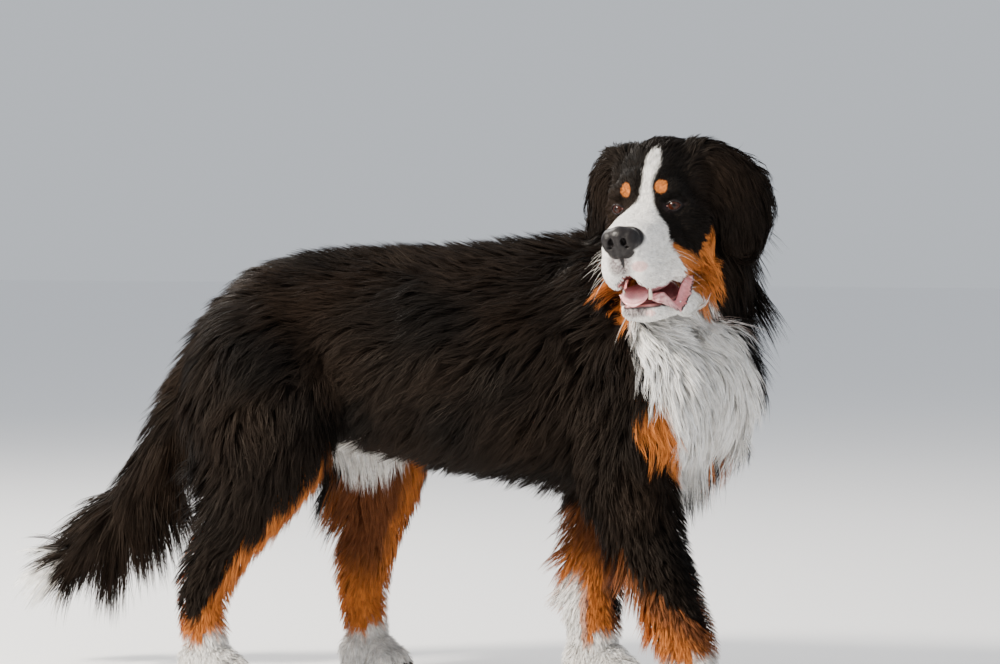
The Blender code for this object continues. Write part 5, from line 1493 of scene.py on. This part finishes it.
def material_of(name, roughness, specular, grain, scale, bump=0, depth=0.0, cells=False, coat=0.0):
    """A material with the mesh's colours, varied by a noise, and a bump of noise or cells."""
    material = bpy.data.materials.new(name)
    material.use_nodes = True
    nodes, links = material.node_tree.nodes, material.node_tree.links

    def node(kind, **inputs):
        made = nodes.new("ShaderNode" + kind)
        for label, value in inputs.items():
            made.inputs[label.replace("_", " ")].default_value = value
        return made

    shader = nodes["Principled BSDF"]
    shader.inputs["Roughness"].default_value = roughness
    shader.inputs["Specular IOR Level"].default_value = specular
    shader.inputs["Coat Weight"].default_value = coat
    shader.inputs["Coat Roughness"].default_value = 0.08
    colour = nodes.new("ShaderNodeVertexColor")
    colour.layer_name = "Colour"
    place = nodes.new("ShaderNodeTexCoord")
    noise = node("TexNoise", Scale=scale)
    links.new(place.outputs["Object"], noise.inputs["Vector"])
    shade = node("MapRange", From_Min=0.3, From_Max=0.7, To_Min=1 - grain, To_Max=1 + grain)
    links.new(noise.outputs["Fac"], shade.inputs["Value"])
    mix = nodes.new("ShaderNodeMix")
    mix.data_type = "RGBA"
    mix.blend_type = "MULTIPLY"
    mix.inputs["Factor"].default_value = 1.0
    links.new(colour.outputs["Color"], mix.inputs["A"])
    links.new(shade.outputs["Result"], mix.inputs["B"])
    links.new(mix.outputs["Result"], shader.inputs["Base Color"])
    if bump:
        relief = node("TexVoronoi" if cells else "TexNoise", Scale=bump)
        links.new(place.outputs["Object"], relief.inputs["Vector"])
        height = node("Bump", Distance=depth, Strength=0.8)
        height.invert = cells
        links.new(relief.outputs["Distance" if cells else "Fac"], height.inputs["Height"])
        links.new(height.outputs["Normal"], shader.inputs["Normal"])
    return material


# The slots of the skin's materials
FUR, LEATHER, FLESH = 0, 1, 2


def colour_skin(skin, places):
    """Paints the skin: the coat's markings, the nose, the lips and the mouth, with painted shade deep inside
    the mouth.
    """
    points = points_of(skin)
    colours = markings(points, places)
    head = in_head(points)
    close = near_face(head)
    face = head[close]
    nose, mouth = nose_leather(face), in_mouth(face)
    paint = Paint(colours[close])
    paint.lay(nose, NOSE_SKIN)
    paint.lay(mouth * 3, LIP_DARK)
    paint.lay(mouth * 3 - 1.2, PINK)
    # Painted shade: a darker red deep inside the mouth
    paint.lay(mouth * 3 - 2.2, MOUTH_PAINTED_SHADE)
    for side in (1, -1):
        outside, reach, _, facing, _ = lid_distance(face, side)
        paint.lay((reach < LID_REACH) * (facing > 0) * np.clip(1.3 - outside / 0.16, 0, 1), LIP_DARK)
    colours[close] = paint.colours
    painted(skin, colours)
    slots = np.full(len(points), FUR, np.int32)
    index = np.flatnonzero(close)
    slots[index[nose > 0.5]] = LEATHER
    slots[index[mouth > 0.45]] = FLESH
    slots[points[:, 2] < SOLE_HEIGHT * CM] = LEATHER
    corners = values_of(skin.data.loops, "vertex_index", np.int32)
    starts = values_of(skin.data.polygons, "loop_start", np.int32)
    skin.data.polygons.foreach_set("material_index", slots[corners[starts]])


# Eyes, mouth, whiskers and claws


def painted(obj, colours):
    layer = obj.data.color_attributes.new("Colour", "FLOAT_COLOR", "POINT")
    full = np.ones((len(obj.data.vertices), 4), np.float32)
    full[:, :3] = np.clip(colours, 0, 0.95)
    layer.data.foreach_set("color", full.ravel())
    return obj


def placed(obj, matrix, material, *replaced):
    """Sets a finished piece in its place in the body's frame, with its material."""
    obj.data.transform(matrix)
    set_points(obj, points_of(obj) + SHIFT)
    obj.data.shade_smooth()
    obj.data.materials.clear()
    obj.data.materials.append(material)
    if replaced:
        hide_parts(*replaced)
    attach(obj, "root")
    return obj


def tube(name, path, radii, sides=8, closed=False):
    """A round tube through the points, each with its radius."""
    path = [Vector(p) for p in path]
    rings = []
    count = len(path)
    side = Vector((0.3, 0.1, 1)).normalized()
    for i, point in enumerate(path):
        ahead = path[(i + 1) % count] if closed or i + 1 < count else point
        behind = path[i - 1] if closed or i else point
        along = (ahead - behind).normalized()
        side = (side - along * side.dot(along)).normalized()
        rings.append(ring(point, side, along.cross(side), radii[i], radii[i], radii[i], 2, sides))
    if not closed:
        return skinned(name, rings)
    points = [p for r in rings for p in r]
    faces = []
    for i in range(count):
        a, b = i * sides, (i + 1) % count * sides
        faces += [(a + k, a + (k + 1) % sides, b + (k + 1) % sides, b + k) for k in range(sides)]
    return outward(object_of(name, points, faces))


SIDES = {1: "left", -1: "right"}
IRIS_RADIUS = 0.84
PUPIL_RADIUS = 0.27
CORNEA = 0.12
EYE_WHITE = (0.16, 0.08, 0.065)
IRIS_INNER, IRIS_OUTER, IRIS_RING = (0.018, 0.005, 0.003), (0.060, 0.013, 0.005), (0.012, 0.005, 0.004)
IRIS_RAYS = (17, 29, 41, 59)


def eyeball(side, material):
    """An eyeball with a bulging cornea, an iris with fine rays and a pupil."""
    centre, forward, aside, _ = eye_frame(side)
    obj = blob("eye", (0, 0, 0), (EYE_RADIUS,) * 3, rings=72)
    points = points_of(obj) / CM
    away = np.hypot(points[:, 0], points[:, 1]) + (points[:, 2] < 0) * 9
    around = np.arctan2(points[:, 1], points[:, 0])
    rays = sum(np.sin(around * n + n * n) for n in IRIS_RAYS) / len(IRIS_RAYS)
    share = np.clip((away - PUPIL_RADIUS) / (IRIS_RADIUS - PUPIL_RADIUS), 0, 1)
    iris = mixed(share, IRIS_OUTER, IRIS_INNER) * (1 + 0.3 * rays * share)[:, None]
    paint = Paint(iris)
    paint.lay(smoothstep(away, IRIS_RADIUS - 0.12, IRIS_RADIUS - 0.02), IRIS_RING)
    paint.lay(smoothstep(away, IRIS_RADIUS - 0.02, IRIS_RADIUS + 0.06), EYE_WHITE)
    painted(obj, paint.colours * smoothstep(away, PUPIL_RADIUS - 0.04, PUPIL_RADIUS + 0.03)[:, None])
    points[:, 2] += np.clip(1 - (away / IRIS_RADIUS) ** 2, 0, 1) * CORNEA
    set_points(obj, points * CM)
    axes = Matrix(np.column_stack([aside, np.cross(forward, aside), forward]).tolist()).to_4x4()
    place = HEAD @ Matrix.Translation(Vector(centre) * CM) @ axes
    return placed(obj, place, material, "eye_" + SIDES[side])


def on_eye(side, across, high, radius):
    """A point near the eyeball at an angle across and up, in metres in the head's frame."""
    centre, forward, aside, up = eye_frame(side)
    across, high = math.radians(across), math.radians(high)
    level = forward * math.cos(across) + aside * math.sin(across)
    return Vector((centre + (level * math.cos(high) + up * math.sin(high)) * radius) * CM)


LID_POINTS, LID_SIDES = 64, 10
LID_SKIN, CORNER_SKIN = (0.009, 0.006, 0.006), (0.13, 0.05, 0.045)


def lids(side, material):
    """The lids' dark rims as one closed roll round the opening, with the pink corner by the nose."""
    path, radii = [], []
    for k in range(LID_POINTS):
        turn = 2 * math.pi * k / LID_POINTS
        upper = math.sin(turn) > 0
        which = 0 if upper else 1
        arc = EYE_ARCS[which] * (1 - abs(math.cos(turn)) ** EYE_BENDS[which])
        path.append(on_eye(side, EYE_MIDDLE + EYE_HALF * math.cos(turn), arc, EYE_RADIUS + 0.1))
        radii.append((LID_RIM + (0.035 if upper else 0.0)) * CM)
    rim = tube("rim", path, radii, LID_SIDES, closed=True)
    corner = blob("corner", on_eye(side, EYE_CORNERS[0] + 9, -1, EYE_RADIUS + 0.05) / CM, (0.2, 0.26, 0.17))
    lid = joined("lids_" + SIDES[side], [rim, corner])
    colours = np.tile(LID_SKIN, (len(lid.data.vertices), 1))
    colours[LID_POINTS * LID_SIDES :] = CORNER_SKIN
    return placed(painted(lid, colours), HEAD, material)


def resampled(rows, count):
    """So many points on a smooth curve through the rows, evenly spaced."""
    fine = smooth_rows(rows, 12)
    far = np.concatenate([[0], np.cumsum(np.linalg.norm(np.diff(fine[:, :3], axis=0), axis=1))])
    return np.column_stack([np.interp(np.linspace(0, far[-1], count), far, column) for column in fine.T])


LIP_ALONG, LIP_ACROSS = 110, 16
LIP_PINK = (0.78, 0.28, 0.29)
LIP_PALE_AND_HIGHLIGHT = (0.86, 0.46, 0.44)
LIP_RED = (0.48, 0.08, 0.10)
# The dark rim's teeth, how far each side hangs, and the way the moist side faces in the head's frame
LIP_TEETH = 15
LIP_HANG = {1: 1.0, -1: 0.35}
LIP_FACING = (0.909, 0.412, 0.07)


def lower_lip(side, material):
    """The lower lip's moist inner side hanging outward, with folds in front and a toothed dark rim."""
    root = resampled(LIP_ROOT, LIP_ALONG)
    rim = root + (resampled(LIP_RIM, LIP_ALONG) - root) * LIP_HANG[side]
    swell = np.interp(np.linspace(0, 1, LIP_ALONG), np.linspace(0, 1, len(LIP_SWELL)), LIP_SWELL)
    t = np.linspace(0, 1, LIP_ALONG)[:, None]
    s = np.linspace(0, 1, LIP_ACROSS)[None, :]
    notch = 0.5 + 0.5 * np.sin(t * LIP_TEETH * 2 * math.pi + 2.2 * np.sin(t * 23) + 1.3 * np.sin(t * 51))
    notch *= 0.65 + 0.35 * np.sin(t * 37)
    strong = np.interp(t, (0, 0.12, 0.3, 0.75, 0.92, 1), (0.2, 0.6, 1, 1, 0.6, 0.1))
    reach = s + s**4 * (notch - 0.5) * 0.12 * strong
    grid = root[:, None] * (1 - reach[..., None]) + rim[:, None] * reach[..., None]
    along = np.gradient(grid, axis=0)
    across = np.gradient(grid, axis=1)
    out = unit(np.cross(along, across))
    out *= np.sign((out @ np.array(LIP_FACING))[..., None] + 1e-9)
    front = np.exp(-(((t - 0.14) / 0.13) ** 2))
    folds = front * (0.22 * np.sin(t * 60 + s * 5) * np.sin(math.pi * s) + 0.1 * np.sin(s * 17 + t * 31))
    ridges = 0.035 * np.sin(t * 75 + 3 * s) * np.sin(math.pi * s)
    lift = swell[:, None] * np.sin(math.pi * s) + 0.16 * s**3 + folds + ridges
    grid = grid + out * lift[..., None]
    under = grid - out * (0.14 + 0.1 * np.sin(math.pi * s))[..., None]
    points = np.concatenate([grid.reshape(-1, 3), under.reshape(-1, 3)])
    points[:, 1] *= side
    lip = object_of("lower_lip_" + SIDES[side], points * CM, sheet_faces(LIP_ALONG, LIP_ACROSS))
    paint = Paint(np.tile(LIP_PINK, (LIP_ALONG * LIP_ACROSS, 1)))
    # Part pale tone everywhere, plus painted highlight where the folds and swell rise and painted shade in the
    # hollows
    paint.lay((lift * 2.2 + 0.35).ravel(), LIP_PALE_AND_HIGHLIGHT)
    paint.lay((np.clip(1 - s * 4, 0, 1) * 0.7 * np.ones_like(t)).ravel(), LIP_RED)
    dark = np.interp(t, (0.0, 0.3, 0.38, 0.7, 0.74, 1), (0.2, 0.4, 1, 1, 0.9, 0.9)) * (notch < 0.7)
    paint.lay((smoothstep(s + notch * -0.10, 0.80, 0.86) * dark).ravel(), LIP_DARK)
    back = np.tile(GREY_SKIN, (LIP_ALONG * LIP_ACROSS, 1))
    return placed(painted(outward(lip), np.concatenate([paint.colours, back])), HEAD, material)


def lip_surface(lips):
    """The finished lips' surface in the head's frame, in metres."""
    points, faces = [], []
    for lip in lips:
        faces += [[v + len(points) for v in p.vertices] for p in lip.data.polygons]
        points += (in_head(points_of(lip) - SHIFT) * CM).tolist()
    return BVHTree.FromPolygons(points, faces)


TONGUE_SIDES = 40
TONGUE_PALE, TONGUE_PINK = (0.86, 0.42, 0.42), (0.78, 0.32, 0.34)


def tongue_piece(material):
    """The tongue, with a groove along its middle."""
    rings = []
    for x, top, wide, thick, right in smooth_rows(TONGUE, 8):
        loop = []
        for k in range(TONGUE_SIDES):
            turn = 2 * math.pi * k / TONGUE_SIDES
            across, high = math.cos(turn), math.sin(turn)
            z = top - thick + high * thick + TONGUE_CUP * (across**2 - 1)
            z -= TONGUE_GROOVE * math.exp(-((across / 0.14) ** 2)) * (high > 0)
            loop.append(Vector((x - 0.5 * across**4 * (x > 4), across * wide - right, z)) * CM)
        rings.append(loop)
    obj = skinned("tongue", rings)
    colours = mixed(0.5 + 0.5 * waves(points_of(obj), 1.2, 31), TONGUE_PALE, TONGUE_PINK)
    return placed(painted(obj, colours), HEAD, material, "tongue")


IVORY, TOOTH_ROOT = (0.86, 0.82, 0.70), (0.78, 0.66, 0.46)


def teeth(material):
    """The lower canines and incisors, bent a little, darker at their roots."""
    made = []
    for root, tip, radius in CANINES + INCISORS:
        root, tip = Vector(root) * CM, Vector(tip) * CM
        bend = (tip - root).cross(Vector((0, 1, 0))) * 0.08
        path = [root.lerp(tip, t) + bend * math.sin(math.pi * t) for t in (0, 0.3, 0.6, 0.85, 0.97)]
        made.append(tube("tooth", path, [radius * CM * f for f in (1, 0.95, 0.75, 0.42, 0.15)], 12))
    obj = joined("teeth", made)
    low = smoothstep(-points_of(obj)[:, 2] / CM, 11.6, 12.9)
    return placed(painted(obj, mixed(low, TOOTH_ROOT, IVORY)), HEAD, material)


# Whiskers: place and heading in the head's frame on the left side, and length; the muzzle's, then the chin's
WHISKERS = [
    (
        (8.8 - 1.5 * i, 3.0 + 0.35 * i, -5.6 - 1.0 * j),
        (-0.35 - 0.12 * i, 1.0, -0.2 - 0.16 * j),
        3.2 + 0.6 * i + 0.3 * j,
    )
    for i in range(4)
    for j in range(4)
]
WHISKERS += [((4.6, 2.4, -15.0), (0.3, 0.5, -1), 3.5), ((3.2, 3.2, -15.2), (0.1, 0.7, -1), 3.8)]
WHISKER_RADIUS = 0.02
WHISKER_TAPER = {0: 1, 0.25: 0.9, 0.5: 0.75, 0.75: 0.5, 1: 0.15}
WHISKER_WHITE = (0.85, 0.82, 0.76)
WHISKERS_SEED = 9


def whiskers(tree, material):
    """Thin bent whiskers on both sides, rooted in the skin."""
    draw = np.random.default_rng(WHISKERS_SEED)
    radii = [WHISKER_RADIUS * CM * f for f in WHISKER_TAPER.values()]
    made = []
    for side in (1, -1):
        flip = np.array((1, side, 1))
        for place, heading, length in WHISKERS:
            at = from_head(np.array(place) * flip + draw.normal(size=3) * 0.15)
            near = tree.find_nearest(Vector(at))[0]
            heading = unit(HEAD_AXES @ (np.array(heading) * flip) + draw.normal(size=3) * 0.12)
            path = []
            for t in WHISKER_TAPER:
                bend = Vector((0, 0, -0.22 * t * t))
                path.append(near + (Vector(heading) + bend) * (length * CM * t))
            made.append(tube("whisker", path, radii, 4))
    obj = joined("whiskers", made)
    return placed(painted(obj, np.tile(WHISKER_WHITE, (len(obj.data.vertices), 1))), Matrix(), material)


CLAW_PALE, CLAW_DARK = (0.10, 0.075, 0.06), (0.035, 0.028, 0.026)


def claws(material):
    """Four blunt dark claws on each paw."""
    made = []
    for x, y, size in PAWS.values():
        for along, across in TOES:
            path = [Vector((x + (along + a) * size, y + across * size, z * size)) * CM for a, z in CLAW]
            made.append(tube("claw", path, [r * size * CM for r in CLAW_RADIUS], 12))
    obj = joined("claws", made)
    colours = mixed(0.5 + 0.5 * waves(points_of(obj), 0.8, 41), CLAW_PALE, CLAW_DARK)
    return placed(painted(obj, colours), Matrix(), material)


# Camera, floor and light


def camera():
    """The photo's camera, level and looking at the dog's right side."""
    heading = math.radians(CAMERA_HEADING)
    aside = Vector((math.cos(heading), math.sin(heading), 0))
    toward = Vector((math.sin(heading), -math.cos(heading), 0))
    data = bpy.data.cameras.new("camera")
    data.lens = CAMERA_LENS
    data.shift_y = CAMERA_SHIFT
    data.clip_end = 60
    obj = linked("camera", data)
    obj.location = toward * CAMERA_DISTANCE + aside * CAMERA_ASIDE + Vector((*SHIFT[:2], CAMERA_HEIGHT))
    obj.rotation_euler = (math.pi / 2, 0, heading)
    bpy.context.scene.camera = obj


# Name, heading from the camera's, height in degrees, distance, size, power and colour
LIGHTS = (
    ("key", -58, 36, 5.0, 1.0, 620, (1.0, 0.93, 0.82)),
    ("rim", -140, 45, 5.0, 2.0, 260, (1.0, 0.94, 0.86)),
    ("fill", 40, 25, 6.0, 4.0, 50, (0.9, 0.95, 1.0)),
)
LIGHTS_AIM = 0.45
FLOOR_REACH = 30
FLOOR_COLOUR = (0.93, 0.93, 0.94, 1)
WORLD_COLOUR = (0.88, 0.93, 1.0, 1)
WORLD_STRENGTH = 0.7


def light(name, heading, height, distance, size, power, colour):
    """A square light that looks at the dog's middle, from a heading seen from the camera's own."""
    turn = math.radians(CAMERA_HEADING + heading)
    high = math.radians(height)
    away = Vector((math.sin(turn) * math.cos(high), -math.cos(turn) * math.cos(high), math.sin(high)))
    data = bpy.data.lights.new(name, "AREA")
    data.size = size
    data.energy = power
    data.color = colour
    obj = linked(name, data)
    obj.location = away * distance + Vector((0, 0, LIGHTS_AIM))
    obj.rotation_euler = away.to_track_quat("Z", "Y").to_euler()


def surroundings():
    """A pale floor, a pale world and the lights."""
    r = FLOOR_REACH
    floor = object_of("floor", [(-r, -r, 0), (r, -r, 0), (r, r, 0), (-r, r, 0)], [(0, 1, 2, 3)])
    material = bpy.data.materials.new("floor")
    material.use_nodes = True
    shader = material.node_tree.nodes["Principled BSDF"]
    shader.inputs["Base Color"].default_value = FLOOR_COLOUR
    shader.inputs["Roughness"].default_value = 0.9
    floor.data.materials.append(material)
    world = bpy.data.worlds.new("world")
    world.use_nodes = True
    background = world.node_tree.nodes["Background"]
    background.inputs["Color"].default_value = WORLD_COLOUR
    background.inputs["Strength"].default_value = WORLD_STRENGTH
    bpy.context.scene.world = world
    for row in LIGHTS:
        light(*row)


# The model

skin, head_marks = build_skin()
places = Places(head_marks)
tree = BVHTree.FromPolygons(points_of(skin).tolist(), [list(p.vertices) for p in skin.data.polygons])
# Roughness, specular level, grain and its scale, then the bump's scale and depth
short_fur = material_of("short_fur", 0.75, 0.05, 0.2, 150, 900, 0.0006)
leather = material_of("nose_leather", 0.38, 0.22, 0.25, 300, 560, 0.0003, cells=True, coat=0.06)
flesh = material_of("moist_flesh", 0.35, 0.5, 0.12, 250, 300, 0.0003, coat=0.6)
tongue_skin = material_of("tongue", 0.42, 0.5, 0.08, 300, 700, 0.0004, cells=True, coat=0.3)
eye_skin = material_of("eye", 0.3, 0.1, 0.08, 900, coat=0.3)
horn = material_of("horn", 0.4, 0.5, 0.3, 200, 400, 0.0003)
enamel = material_of("enamel", 0.2, 0.5, 0.1, 200, 300, 0.0001, coat=0.5)
coat_hair = material_of("coat", 0.5, 0.06, 0.15, 90)
coat_hair.node_tree.nodes["Principled BSDF"].inputs["Specular Tint"].default_value = COAT_TINT
skin.data.materials.clear()
for slot in (short_fur, leather, flesh):
    skin.data.materials.append(slot)
colour_skin(skin, places)
skin.data.shade_smooth()
lips = []
for side in (1, -1):
    eyeball(side, eye_skin)
    lids(side, leather)
    lips.append(lower_lip(side, flesh))
tongue_piece(tongue_skin)
teeth(enamel)
whiskers(tree, horn)
claws(horn)
grow_coat(skin, tree, lip_surface(lips), places, coat_hair)
set_points(skin, points_of(skin) + SHIFT)
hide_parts(*[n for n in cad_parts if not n.startswith(("eye", "tongue"))])
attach(skin, "root")
camera()
surroundings()
